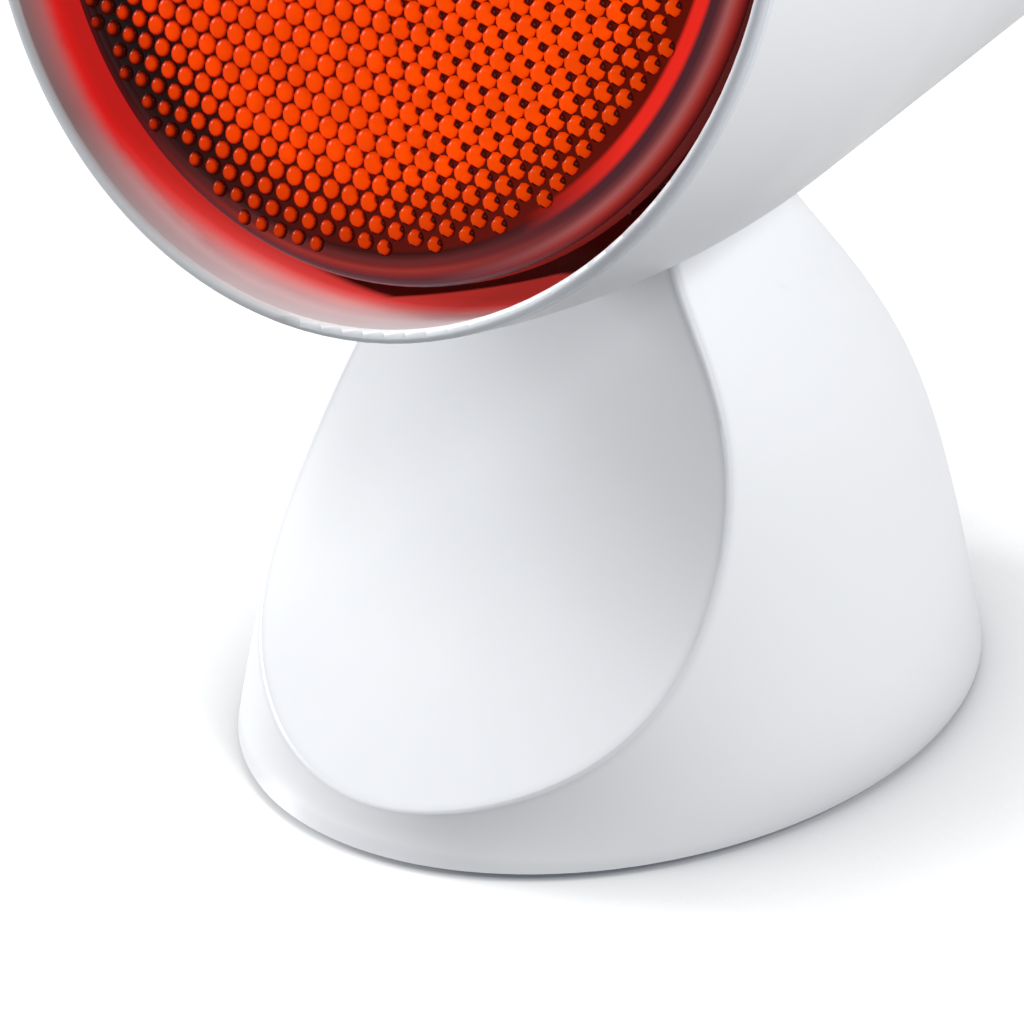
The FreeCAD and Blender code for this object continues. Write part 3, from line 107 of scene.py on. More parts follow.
class Finish:
    """A material's node tree, with short calls for the few nodes that the finishes need."""

    def __init__(self, name):
        self.material = bpy.data.materials.new(name)
        self.material.use_nodes = True
        self.tree = self.material.node_tree
        self.shader = self.tree.nodes["Principled BSDF"]
        self.place = self.add("ShaderNodeTexCoord").outputs["Object"]

    def add(self, kind, **settings):
        node = self.tree.nodes.new(kind)
        for key, value in settings.items():
            setattr(node, key, value)
        return node

    def link(self, source, socket):
        self.tree.links.new(source, socket)

    def feed(self, name, source):
        """One of the shader's own sockets fed by a node."""
        self.link(source, self.shader.inputs[name])

    def set(self, **values):
        """Constants on the shader's own sockets."""
        for name, value in values.items():
            self.shader.inputs[name.replace("_", " ")].default_value = value

    def noise(self, scale, detail=3.0):
        node = self.add("ShaderNodeTexNoise")
        node.inputs["Scale"].default_value = scale
        node.inputs["Detail"].default_value = detail
        node.inputs["Roughness"].default_value = 0.5
        self.link(self.place, node.inputs["Vector"])
        return node.outputs["Fac"]

    def spread(self, value, low, high, start=0.35, end=0.65):
        """Low where a value is at start, high where it is at end, and held beyond both."""
        node = self.add("ShaderNodeMapRange")
        for name, number in (("From Min", start), ("From Max", end), ("To Min", low), ("To Max", high)):
            node.inputs[name].default_value = number
        self.link(value, node.inputs["Value"])
        return node.outputs["Result"]

    def plain(self, colour):
        """One colour as a socket."""
        node = self.add("ShaderNodeRGB")
        node.outputs[0].default_value = (*colour, 1)
        return node.outputs[0]

    def blend(self, value, first, second):
        """Two colours blended."""
        node = self.add("ShaderNodeMix", data_type="RGBA")
        node.inputs[MIX_FIRST].default_value = (*first, 1)
        node.inputs[MIX_SECOND].default_value = (*second, 1)
        self.link(value, node.inputs["Factor"])
        return node.outputs[MIX_RESULT]

    def mixed(self, value, first, second):
        """Two colour sockets blended."""
        node = self.add("ShaderNodeMix", data_type="RGBA")
        self.link(value, node.inputs["Factor"])
        self.link(first, node.inputs[MIX_FIRST])
        self.link(second, node.inputs[MIX_SECOND])
        return node.outputs[MIX_RESULT]

    def scaled(self, colour, amount):
        """A colour socket made dimmer by a number socket."""
        node = self.add("ShaderNodeVectorMath", operation="SCALE")
        self.link(colour, node.inputs[0])
        self.link(amount, node.inputs["Scale"])
        return node.outputs[0]

    def ramp(self, value, stops):
        """A colour for each of a few values between nought and one."""
        node = self.add("ShaderNodeValToRGB")
        band = node.color_ramp
        while len(band.elements) < len(stops):
            band.elements.new(0.5)
        for element, (position, colour) in zip(band.elements, stops):
            element.position = position
            element.color = (*colour, 1)
        self.link(value, node.inputs["Fac"])
        return node.outputs["Color"]

    def bump(self, height, strength, distance):
        node = self.add("ShaderNodeBump")
        node.inputs["Strength"].default_value = strength
        node.inputs["Distance"].default_value = distance
        self.link(height, node.inputs["Height"])
        self.feed("Normal", node.outputs["Normal"])

    def join(self, operation, first, second):
        """Two numbers or sockets joined by plain arithmetic."""
        node = self.add("ShaderNodeMath", operation=operation)
        for socket, value in zip(node.inputs, (first, second)):
            if isinstance(value, (int, float)):
                socket.default_value = value
            else:
                self.link(value, socket)
        return node.outputs[0]

    def in_shade(self):
        """A point's place on the head: back from the mouth, out from the axis, and across."""
        away = self.add("ShaderNodeVectorMath", operation="SUBTRACT")
        away.inputs[1].default_value = MOUTH
        self.link(self.place, away.inputs[0])
        back = self.add("ShaderNodeVectorMath", operation="DOT_PRODUCT")
        back.inputs[1].default_value = SHADE_BACK
        self.link(away.outputs[0], back.inputs[0])
        flat = self.add("ShaderNodeVectorMath", operation="SCALE")
        flat.inputs[0].default_value = SHADE_BACK
        self.link(back.outputs["Value"], flat.inputs["Scale"])
        spoke = self.add("ShaderNodeVectorMath", operation="SUBTRACT")
        self.link(away.outputs[0], spoke.inputs[0])
        self.link(flat.outputs[0], spoke.inputs[1])
        reach = self.add("ShaderNodeVectorMath", operation="LENGTH")
        self.link(spoke.outputs[0], reach.inputs[0])
        across = self.add("ShaderNodeSeparateXYZ")
        self.link(away.outputs[0], across.inputs[0])
        return back.outputs["Value"], reach.outputs["Value"], across.outputs["X"]

    def inside_wall(self, back, reach):
        """One on the inner face of the shade's wall, nothing on its outer face."""
        far = self.join("MULTIPLY", self.join("MULTIPLY", back, back), WALL_CURVE)
        straight = self.join("SUBTRACT", WALL_AT_MOUTH, self.join("MULTIPLY", back, WALL_SLOPE))
        nearer = self.join("LESS_THAN", reach, self.join("SUBTRACT", straight, far))
        return self.join("MULTIPLY", nearer, self.join("LESS_THAN", back, WALL_END))

    def band(self, value, start, full, fade, end):
        """One between full and fade, falling to nothing at start and end."""
        rise = self.spread(value, 0.0, 1.0, start, full)
        fall = self.spread(value, 1.0, 0.0, fade, end)
        return self.join("MULTIPLY", rise, fall)

    def seen_directly(self):
        """One for what the eye or clear glass shows, less in a reflection, nothing for light that bounces."""
        path = self.add("ShaderNodeLightPath")
        mirrored = self.join("MULTIPLY", path.outputs["Is Glossy Ray"], MIRRORED)
        either = self.join("MAXIMUM", path.outputs["Is Camera Ray"], mirrored)
        return self.join("MAXIMUM", either, path.outputs["Is Transmission Ray"])


# ---------------------------------------------------------------- plain finishes
PALE = (0.80, 0.815, 0.845)         # the white plastic of the stand and the shade
PALE_SHADE = (0.785, 0.80, 0.83)    # the same where it is a little cloudier
PLASTIC_SHEEN = 0.28
GRAIN_DEPTH = 0.03 * MM
EDGE_SHADE_WIDTH = 1.9 * MM               # how far in from an edge the painted shade greys the stand
# the grey of the painted shade along the stand's edges and creases
EDGE_SHADE_COLOUR = (0.36, 0.38, 0.42)


def moulded(name, colour, shade, rough, grain=2600, bump=0.05, edge_shade=None):
    """Injection-moulded plastic: faintly cloudy, with a fine grain and, if wanted, painted shade that greys
    its edges.
    """
    m = Finish(name)
    cloudy = m.blend(m.spread(m.noise(18, 4), 0, 1, 0.3, 0.7), colour, shade)
    if edge_shade:
        # painted shade greys the edges and creases
        cloudy = m.mixed(stand_edge_shade(m), cloudy, m.plain(edge_shade))
    m.feed("Base Color", cloudy)
    m.feed("Roughness", m.spread(m.noise(60, 5), rough - 0.04, rough + 0.05))
    m.set(Specular_IOR_Level=PLASTIC_SHEEN)
    m.bump(m.noise(grain, 2), bump, GRAIN_DEPTH)
    return m.material


def stand_edge_shade(m):
    """Painted shade: one along the stand's edges and creases, and little of it where the foot meets the
    floor.
    """
    inner = m.add("ShaderNodeAmbientOcclusion", samples=8, inside=True, only_local=True)
    inner.inputs["Distance"].default_value = EDGE_SHADE_WIDTH
    height = m.add("ShaderNodeSeparateXYZ")
    m.link(m.place, height.inputs[0])
    above_foot = m.spread(height.outputs["Z"], 0.15, 1.0, 2.5 * MM, 6.0 * MM)
    return m.join("MULTIPLY", m.spread(inner.outputs["AO"], 1.0, 0.0, 0.62, 0.97), above_foot)


def metal(name, colour, shade, rough):
    """Plated or drawn metal, with an uneven sheen."""
    m = Finish(name)
    m.set(Metallic=1.0)
    m.feed("Base Color", m.blend(m.spread(m.noise(300, 4), 0, 1), colour, shade))
    m.feed("Roughness", m.spread(m.noise(900, 3), rough - 0.06, rough + 0.08))
    m.bump(m.noise(2200, 3), 0.08, GRAIN_DEPTH)
    return m.material


def rubber(name, colour):
    """Matt moulded rubber."""
    m = Finish(name)
    lighter = [c * 1.5 for c in colour]
    m.feed("Base Color", m.blend(m.spread(m.noise(120, 4), 0, 1), colour, lighter))
    m.feed("Roughness", m.spread(m.noise(400, 3), 0.62, 0.8))
    m.bump(m.noise(3500, 2), 0.2, 0.04 * MM)
    return m.material


def glazed(name, colour, shade):
    """Glazed porcelain or opaque glass."""
    m = Finish(name)
    m.feed("Base Color", m.blend(m.spread(m.noise(90, 5), 0, 1), colour, shade))
    m.feed("Roughness", m.spread(m.noise(140, 3), 0.12, 0.2))
    m.bump(m.noise(350, 3), 0.08, 0.1 * MM)
    return m.material


# ---------------------------------------------------------------- the shade
def painted_glow_depth(m, back, across):
    """How far in the painted glow and painted shade have reached on the shade's inner wall, which starts
    deeper in at the right.
    """
    depth = m.spread(across, 8.4 * MM, 21.5 * MM, -42 * MM, 20 * MM)
    return m.spread(m.join("DIVIDE", back, depth), 0, 1, 0, 1.25)


def wall_colour_and_shade(m, glow_depth, across):
    """The inner wall's colour with painted shade: white at the mouth, a painted dark red shade by the bulb,
    and painted shade that dims it at the left.
    """
    painted_wall_shade = m.ramp(glow_depth, [
        (0.05, (0.81, 0.82, 0.835)),
        (0.20, (0.76, 0.75, 0.765)),
        (0.40, (0.68, 0.66, 0.67)),
        (0.60, (0.58, 0.55, 0.555)),
        (0.72, (0.44, 0.38, 0.38)),
        (0.80, (0.26, 0.16, 0.155)),
        (1.0, (0.12, 0.03, 0.025))])
    return m.scaled(painted_wall_shade, m.spread(across, 0.27, 1.0, -43 * MM, -10 * MM))


def wall_painted_glow(m, glow_depth, across):
    """Painted light on the inner wall, which glows though it is no lamp: the bulb's deep red glow, and a
    painted pink light that fades out at the left.
    """
    red = m.ramp(glow_depth, [
        (0.0, (0.02, 0.0, 0.0)),
        (0.20, (0.11, 0.001, 0.001)),
        (0.44, (0.26, 0.004, 0.004)),
        (0.60, (0.50, 0.008, 0.006)),
        (0.74, (0.66, 0.010, 0.009)),
        (0.84, (0.58, 0.010, 0.009)),
        (1.0, (0.50, 0.012, 0.010))])
    pink = m.ramp(glow_depth, [
        (0.0, (0.0, 0.0, 0.0)),
        (0.22, (0.01, 0.01, 0.01)),
        (0.34, (0.09, 0.09, 0.092)),
        (0.50, (0.21, 0.21, 0.21)),
        (0.58, (0.18, 0.18, 0.175)),
        (0.70, (0.08, 0.08, 0.078)),
        (0.80, (0.03, 0.03, 0.028)),
        (1.0, (0.02, 0.02, 0.016))])
    both = m.add("ShaderNodeVectorMath", operation="ADD")
    m.link(red, both.inputs[0])
    m.link(m.scaled(pink, m.spread(across, 0.05, 1.0, -40 * MM, -12 * MM)), both.inputs[1])
    return both.outputs[0]


def lip_colour_and_shade(m, across):
    """The rolled lip's colour, with painted light and shade: brighter along its middle stretch and greyer at
    both ends.
    """
    return m.ramp(m.spread(across, 0, 1, -4 * MM, 60 * MM), [
        (0.0, (0.60, 0.62, 0.65)),
        (0.37, (0.88, 0.93, 0.985)),
        (0.70, (0.88, 0.93, 0.985)),
        (0.85, (0.62, 0.65, 0.70))])


def shade_plastic():
    """The shade's white plastic, on whose inner wall the bulb's glow is painted red towards the bulb, along
    with painted shade.
    """
    m = Finish("white_shade_plastic")
    back, reach, across = m.in_shade()
    behind_lip = m.spread(back, 0.0, 1.0, 0.4 * MM, 1.0 * MM)
    inside = m.join("MULTIPLY", m.inside_wall(back, reach), behind_lip)
    glow_depth = painted_glow_depth(m, back, across)
    cloudy = m.blend(m.spread(m.noise(18, 4), 0, 1, 0.3, 0.7), PALE, PALE_SHADE)
    on_lip = m.spread(back, 1.0, 0.0, 2.0 * MM, 2.2 * MM)
    outside = m.mixed(on_lip, cloudy, lip_colour_and_shade(m, across))
    # painted shade: the inner wall darkens deeper in and at the left
    m.feed("Base Color", m.mixed(inside, outside, wall_colour_and_shade(m, glow_depth, across)))
    # painted light: the wall's emission stands in for the bulb's glow and the outside light falling on it
    m.feed("Emission Color", wall_painted_glow(m, glow_depth, across))
    # The flange keeps the light off the wall behind it, nearer the mouth at the left than at the right.
    shadow_start = m.spread(across, 19 * MM, 39 * MM, 4 * MM, 17.2 * MM)
    lit = m.spread(m.join("SUBTRACT", back, shadow_start), 1.0, 0.05, -0.8 * MM, 1.2 * MM)
    lit = m.join("MULTIPLY", lit, m.spread(across, 1.0, 0.60, 2 * MM, 16 * MM))
    m.feed("Emission Strength", m.join("MULTIPLY", inside, lit))
    m.feed("Roughness", m.spread(m.noise(60, 5), 0.30, 0.38))
    m.set(Specular_IOR_Level=PLASTIC_SHEEN)
    m.bump(m.noise(2600, 2), 0.05, GRAIN_DEPTH)
    return m.material


# ---------------------------------------------------------------- the bulb
def flange_painted_rings(m, reach, across):
    """The flange's rings of glow, with painted highlights: dim and broad below, with a painted grey highlight
    at the rim, and brighter towards the rim at the right, with a painted pink highlight.
    """
    rings = m.spread(reach, 0, 1, 56 * MM, 61 * MM)
    # below: the glow, and at the outer stop a painted grey highlight along the rim
    low = m.ramp(rings, [
        (0.0, (0.02, 0.001, 0.001)),
        (0.20, (0.11, 0.018, 0.017)),
        (0.36, (0.16, 0.014, 0.013)),
        (0.48, (0.30, 0.028, 0.020)),
        (0.60, (0.21, 0.019, 0.020)),
        (0.72, (0.09, 0.017, 0.021)),
        (0.86, (0.08, 0.030, 0.044)),
        (0.93, (0.17, 0.17, 0.20))])
    # at the right: the glow, with a painted pink highlight streak on the rounded rim
    side = m.ramp(rings, [
        (0.0, (0.05, 0.010, 0.014)),
        (0.44, (0.06, 0.018, 0.023)),
        (0.56, (0.15, 0.032, 0.034)),
        (0.70, (0.34, 0.09, 0.085)),
        (0.82, (0.35, 0.034, 0.026)),
        (0.93, (0.33, 0.014, 0.008)),
        (1.0, (0.10, 0.006, 0.003))])
    return m.mixed(m.spread(across, 0, 1, 20 * MM, 45 * MM), low, side)


def red_glass():
    """Dark red pressed glass lit by the bulb: deep red between the beads, painted brighter at the right and
    dimmer at the left, and a flange whose rings carry the glow with painted highlights.
    """
    m = Finish("red_glass")
    back, reach, across = m.in_shade()
    m.feed("Base Color", m.ramp(m.spread(reach, 0, 1, 52 * MM, 60 * MM), [
        (0.0, (0.006, 0.0004, 0.0002)),
        (0.45, (0.02, 0.001, 0.001)),
        (1.0, (0.03, 0.006, 0.010))]))
    # painted light: the glow between the beads is brighter at the right
    between_beads = m.ramp(m.spread(across, 0, 1, -35 * MM, 25 * MM), [
        (0.0, (0.012, 0.0, 0.0)),
        (1.0, (0.10, 0.003, 0.0))])
    on_flange = m.spread(reach, 0, 1, 55.5 * MM, 56.2 * MM)
    glow = m.mixed(on_flange, between_beads, flange_painted_rings(m, reach, across))
    # Painted light: the lens's own edge shows as a clear red band, at the right only.
    ring = m.band(reach, 54.6 * MM, 55.2 * MM, 56.6 * MM, 57.3 * MM)
    edge_band = m.join("MULTIPLY", ring, m.spread(across, 0, 1, 34 * MM, 48 * MM))
    m.feed("Emission Color", m.mixed(edge_band, glow, m.plain((0.80, 0.020, 0.012))))
    # painted shade: the glow dims at the left
    dim_left = m.spread(across, 0.12, 1.0, -36 * MM, -4 * MM)
    dim_behind = m.spread(back, 1.0, 0.12, 6.2 * MM, 8.0 * MM)
    m.feed("Emission Strength", m.join("MULTIPLY", dim_left, dim_behind))
    m.set(Specular_IOR_Level=0.04)
    m.feed("Roughness", m.spread(m.noise(150, 3), 0.04, 0.10))
    m.bump(m.noise(160, 2), 0.12, 0.2 * MM)
    return m.material


def glowing_bead():
    """Lit glass beads, their glow painted by height: orange crowns, a painted deep red shade where they sink,
    brighter at the right and joined up there with painted dark corners, and dimmer at the left and towards
    the edge.
    """
    m = Finish("glowing_beads")
    reach, across = m.in_shade()[1:]
    crown = m.add("ShaderNodeAttribute", attribute_name="crown").outputs["Fac"]
    corner = m.add("ShaderNodeAttribute", attribute_name="corner").outputs["Fac"]
    # painted light and shade: brighter at the right, darker at the left and towards the edge, with dark
    # corners painted between the beads at the right
    right = m.spread(across, 0, 1, 4 * MM, 34 * MM)
    left = m.spread(across, 0, 0.32, -2 * MM, -42 * MM)
    edge = m.spread(reach, 0, 0.30, 46 * MM, 57 * MM)
    filled = m.join("SUBTRACT", 0.34, m.spread(corner, 0, 1.2, 0.05, 0.45))
    level = m.join("ADD", crown, m.join("MULTIPLY", right, filled))
    level = m.join("SUBTRACT", m.join("SUBTRACT", level, left), edge)
    m.feed("Emission Color", m.ramp(level, [
        (0.0, (0.045, 0.003, 0.001)),
        (0.12, (0.08, 0.003, 0.001)),
        (0.30, (0.45, 0.014, 0.001)),
        (0.50, (0.86, 0.046, 0.0)),
        (1.0, (0.96, 0.068, 0.0))]))
    uneven = m.spread(m.noise(260, 3), 0.90, 1.06)
    dim_edge = m.spread(reach, 1.0, 0.60, 46 * MM, 56.5 * MM)
    m.feed("Emission Strength", m.join("MULTIPLY", uneven, dim_edge))
    m.feed("Base Color", m.ramp(crown, [(0.0, (0.004, 0.0, 0.0)), (1.0, (0.03, 0.001, 0.0))]))
    m.set(Roughness=0.22, Specular_IOR_Level=0.02)
    return m.material


def silvered_glass():
    """The reflector: red glass glowing just behind the seam, then silvering seen through its glass."""
    m = Finish("silvered_glass")
    back = m.in_shade()[0]
    m.feed("Metallic", m.spread(back, 0.0, 0.9, 11 * MM, 22 * MM))
    m.feed("Base Color", m.ramp(m.spread(back, 0, 1, 10 * MM, 26 * MM), [
        (0.0, (0.03, 0.004, 0.003)),
        (0.5, (0.08, 0.02, 0.015)),
        (1.0, (0.42, 0.37, 0.36))]))
    m.set(Emission_Color=(1.0, 0.028, 0.012, 1))
    m.feed("Emission Strength", m.spread(back, 0.03, 0.0, 9.5 * MM, 12.5 * MM))
    m.feed("Roughness", m.spread(m.noise(150, 4), 0.10, 0.20))
    m.bump(m.noise(250, 2), 0.08, 0.1 * MM)
    return m.material


# ---------------------------------------------------------------- a finish for every node
finishes = {
    "stand_white": moulded("white_stand_plastic", PALE, PALE_SHADE, 0.36, edge_shade=EDGE_SHADE_COLOUR),
    "shade_white": shade_plastic(),
    "switch_white": moulded("white_rocker_plastic", (0.72, 0.72, 0.71), (0.68, 0.68, 0.67), 0.25),
    "base_grey": moulded("grey_plate_plastic", (0.55, 0.56, 0.58), (0.50, 0.51, 0.53), 0.55, 1800, 0.3),
    "black_plastic": moulded("black_switch_plastic", (0.022, 0.022, 0.024), (0.03, 0.03, 0.032), 0.4),
    "natural_plastic": moulded("natural_nylon", (0.75, 0.73, 0.66), (0.70, 0.68, 0.60), 0.45),
    "foot_rubber": rubber("grey_foot_rubber", (0.05, 0.05, 0.052)),
    "black_rubber": rubber("black_grommet_rubber", (0.02, 0.02, 0.02)),
    "zinc_steel": metal("zinc_plated_steel", (0.62, 0.63, 0.66), (0.54, 0.55, 0.57), 0.3),
    "tungsten": metal("tungsten_wire", (0.42, 0.40, 0.36), (0.34, 0.32, 0.30), 0.35),
    "brass": metal("stamped_brass", (0.78, 0.60, 0.28), (0.70, 0.52, 0.22), 0.28),
    "nickel_brass": metal("nickelled_brass", (0.70, 0.68, 0.62), (0.62, 0.60, 0.55), 0.22),
    "aluminium": metal("spun_aluminium", (0.78, 0.79, 0.80), (0.70, 0.71, 0.73), 0.28),
    "red_glass": red_glass(),
    "mirrored_glass": silvered_glass(),
    "black_glass": glazed("black_cap_glass", (0.012, 0.008, 0.014), (0.02, 0.014, 0.022)),
    "porcelain": glazed("glazed_porcelain", (0.82, 0.80, 0.76), (0.78, 0.76, 0.71)),
}
for part in frame["record"]["subparts"]:
    mesh = nodes[part["node"]].data
    mesh.materials.clear()
    mesh.materials.append(finishes[part["material_slot"]])


# ---------------------------------------------------------------- beaded lens
LENS_RADIUS = 56.5 * MM
LENS_EDGE = 4.7 * MM        # edge of the lens's dome, behind the shade's mouth
LENS_SAG = 4.2 * MM         # height of that dome
DOME_RADIUS = (LENS_RADIUS ** 2 + LENS_SAG ** 2) / (2 * LENS_SAG)
BEAD_LIFT = 0.05 * MM       # keeps the beads' rims just off the glass
BEAD_SIDES = 12
BEAD_PROFILE = [(1.0, 0.0), (0.93, 0.30), (0.80, 0.56), (0.60, 0.78), (0.32, 0.94)]     # radius, height
BEAD_SMALLER = (44 * MM, 57 * MM, 1.0, 0.70)    # two reaches, and the size of the beads at each
BEAD_UNEVEN = (0.95, 1.03)
ROW_COUNT = 44              # rows, and beads in a row, before the field is trimmed round
FIELD_ASIDE = 1.7 * MM      # the round field's middle lies this far to the left of the lens's
LONG_STRETCH = (-5.5 * MM, 9.5 * MM, 1.6 * MM)  # across it, middle and half width, and its extra reach
FIELD_SIZES = (
    ("Pitch", "NodeSocketFloat", 3.27 * MM),
    ("Row Step", "NodeSocketFloat", 2.76 * MM),
    ("Bead Radius", "NodeSocketFloat", 1.74 * MM),
    ("Bead Height", "NodeSocketFloat", 0.95 * MM),
    ("Field Radius", "NodeSocketFloat", 56.2 * MM),
    ("Dome Radius", "NodeSocketFloat", DOME_RADIUS),
    ("Seed", "NodeSocketInt", 7),
)


def bead_mesh():
    """One bead: a low round cap, whose points keep their height and which of six corners they are near."""
    sides = BEAD_SIDES
    points = []
    for radius, height in BEAD_PROFILE:
        for i in range(sides):
            angle = 2 * math.pi * i / sides
            points.append((radius * math.cos(angle), radius * math.sin(angle), height))
    points.append((0, 0, 1.0))
    faces = []
    for ring in range(len(BEAD_PROFILE) - 1):
        for i in range(sides):
            j = (i + 1) % sides
            faces.append((ring * sides + i, ring * sides + j, (ring + 1) * sides + j, (ring + 1) * sides + i))
    last = (len(BEAD_PROFILE) - 1) * sides
    for i in range(sides):
        faces.append((last + i, last + (i + 1) % sides, len(points) - 1))
    mesh = bpy.data.meshes.new("bead")
    mesh.from_pydata(points, [], faces)
    mesh.polygons.foreach_set("use_smooth", [True] * len(mesh.polygons))
    crown = mesh.attributes.new("crown", "FLOAT", "POINT")
    crown.data.foreach_set("value", [p[2] for p in points])
    # the corner value marks where painted shade darkens the beads' corners
    corner = mesh.attributes.new("corner", "FLOAT", "POINT")
    corner.data.foreach_set("value", [p[1] ** 3 - 3 * p[0] ** 2 * p[1] for p in points])
    return mesh


def bead_field():
    """A node tree that sets beads in a close hexagonal pattern over the lens's dome."""
    tree = bpy.data.node_groups.new("bead_field", "GeometryNodeTree")
    for name, kind, value in FIELD_SIZES:
        socket = tree.interface.new_socket(name, in_out="INPUT", socket_type=kind)
        socket.default_value = value
    tree.interface.new_socket("Bead", in_out="INPUT", socket_type="NodeSocketObject")
    tree.interface.new_socket("Finish", in_out="INPUT", socket_type="NodeSocketMaterial")
    tree.interface.new_socket("Geometry", in_out="OUTPUT", socket_type="NodeSocketGeometry")

    def add(kind, **settings):
        node = tree.nodes.new(kind)
        for key, value in settings.items():
            setattr(node, key, value)
        return node

    def link(source, socket):
        tree.links.new(source, socket)

    def maths(operation, *values):
        node = add("ShaderNodeMath", operation=operation)
        for socket, value in zip(node.inputs, values):
            if isinstance(value, (int, float)):
                socket.default_value = value
            else:
                link(value, socket)
        return node.outputs[0]

    def squared(value):
        return maths("MULTIPLY", value, value)

    def length(*sides):
        return maths("SQRT", maths("ADD", *sides))

    def position():
        split = add("ShaderNodeSeparateXYZ")
        link(add("GeometryNodeInputPosition").outputs[0], split.inputs[0])
        return split.outputs["X"], split.outputs["Y"]

    given = add("NodeGroupInput").outputs

    # A grid of points laid on the dome, whose rows are moved a quarter pitch to one side and the other.
    grid = add("GeometryNodeMeshGrid")
    grid.inputs["Vertices X"].default_value = ROW_COUNT
    grid.inputs["Vertices Y"].default_value = ROW_COUNT
    link(maths("MULTIPLY", given["Pitch"], ROW_COUNT - 1.0), grid.inputs["Size X"])
    link(maths("MULTIPLY", given["Row Step"], ROW_COUNT - 1.0), grid.inputs["Size Y"])
    points = add("GeometryNodeMeshToPoints")
    link(grid.outputs["Mesh"], points.inputs["Mesh"])
    index = add("GeometryNodeInputIndex").outputs[0]
    odd = maths("MODULO", maths("MODULO", index, float(ROW_COUNT)), 2.0)
    stagger = maths("SUBTRACT", maths("MULTIPLY", odd, 0.5), 0.25)
    side, down = position()
    shifted = maths("ADD", side, maths("MULTIPLY", given["Pitch"], stagger))
    away = length(squared(shifted), squared(down))
    dome = given["Dome Radius"]
    rise = maths("SUBTRACT", maths("SQRT", maths("SUBTRACT", squared(dome), squared(away))), dome)
    joined = add("ShaderNodeCombineXYZ")
    link(shifted, joined.inputs["X"])
    link(down, joined.inputs["Y"])
    link(rise, joined.inputs["Z"])
    moved = add("GeometryNodeSetPosition")
    link(points.outputs["Points"], moved.inputs["Geometry"])
    link(joined.outputs[0], moved.inputs["Position"])

    # The field is trimmed round, and reaches a little further out in one stretch near the middle.
    side, down = position()
    down_squared = squared(down)
    away = length(squared(side), down_squared)
    from_middle = length(squared(maths("ADD", side, FIELD_ASIDE)), down_squared)
    stretch_middle, stretch_half, stretch_extra = LONG_STRETCH
    in_stretch = maths("COMPARE", side, stretch_middle, stretch_half)
    limit = maths("ADD", given["Field Radius"], maths("MULTIPLY", in_stretch, stretch_extra))
    trimmed = add("GeometryNodeDeleteGeometry", domain="POINT")
    link(moved.outputs[0], trimmed.inputs["Geometry"])
    link(maths("GREATER_THAN", from_middle, limit), trimmed.inputs["Selection"])

    # A bead on each point, uneven by a little and smaller towards the edge.
    copies = add("GeometryNodeInstanceOnPoints")
    link(trimmed.outputs[0], copies.inputs["Points"])
    source = add("GeometryNodeObjectInfo")
    link(given["Bead"], source.inputs["Object"])
    link(source.outputs["Geometry"], copies.inputs["Instance"])
    wobble = add("FunctionNodeRandomValue", data_type="FLOAT")
    wobble.inputs[2].default_value, wobble.inputs[3].default_value = BEAD_UNEVEN
    link(given["Seed"], wobble.inputs["Seed"])
    slim = add("ShaderNodeMapRange")
    link(away, slim.inputs["Value"])
    for name, number in zip(("From Min", "From Max", "To Min", "To Max"), BEAD_SMALLER):
        slim.inputs[name].default_value = number
    wide = maths("MULTIPLY", maths("MULTIPLY", given["Bead Radius"], wobble.outputs[1]), slim.outputs[0])
    size = add("ShaderNodeCombineXYZ")
    link(wide, size.inputs["X"])
    link(wide, size.inputs["Y"])
    link(given["Bead Height"], size.inputs["Z"])
    link(size.outputs[0], copies.inputs["Scale"])
    real = add("GeometryNodeRealizeInstances")
    link(copies.outputs[0], real.inputs[0])
    finish = add("GeometryNodeSetMaterial")
    link(real.outputs[0], finish.inputs["Geometry"])
    link(given["Finish"], finish.inputs["Material"])
    link(finish.outputs[0], add("NodeGroupOutput").inputs[0])
    return tree


def beaded_lens():
    """The lens's beads, made by the field's node tree and laid on the glass."""
    bead = bpy.data.objects.new("bead_source", bead_mesh())
    scene.collection.objects.link(bead)
    tree = bead_field()
    holder = bpy.data.objects.new("bead_holder", bpy.data.meshes.new("bead_holder"))
    scene.collection.objects.link(holder)
    modifier = holder.modifiers.new("beads", "NODES")
    modifier.node_group = tree
    by_name = {item.name: item.identifier for item in tree.interface.items_tree if item.in_out == "INPUT"}
    modifier[by_name["Bead"]] = bead
    modifier[by_name["Finish"]] = glowing_bead()
    bpy.context.view_layer.update()
    ready = holder.evaluated_get(bpy.context.evaluated_depsgraph_get())
    mesh = bpy.data.meshes.new_from_object(ready, preserve_all_data_layers=True,
                                           depsgraph=bpy.context.evaluated_depsgraph_get())
    bpy.data.objects.remove(holder)
    bpy.data.objects.remove(bead)
    # The field is built looking along +Z; the lens looks along the shade's axis towards its mouth.
    look = Matrix(((1, 0, 0, 0), (0, 1, 0, 0), (0, 0, -1, 0), (0, 0, 0, 1)))
    front = LENS_EDGE - LENS_SAG
    mesh.transform(HEAD @ Matrix.Translation((0, 0, front + BEAD_LIFT)) @ look)
    mesh.flip_normals()
    piece = bpy.data.objects.new("lens_beads", mesh)
    scene.collection.objects.link(piece)
    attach(piece, "head")


beaded_lens()


# ---------------------------------------------------------------- floor
FLOOR_HALF = 4
FLOOR_LEVEL = -0.2 * MM         # just under the rubber feet
FLOOR_GREY = 0.34               # what it gives back to the lamp as bounced light
CONTACT_REACH = 60 * MM         # how far the foot's contact shadow spreads
AWAY_FROM_LIGHT = (0.781, 0.625, 0)


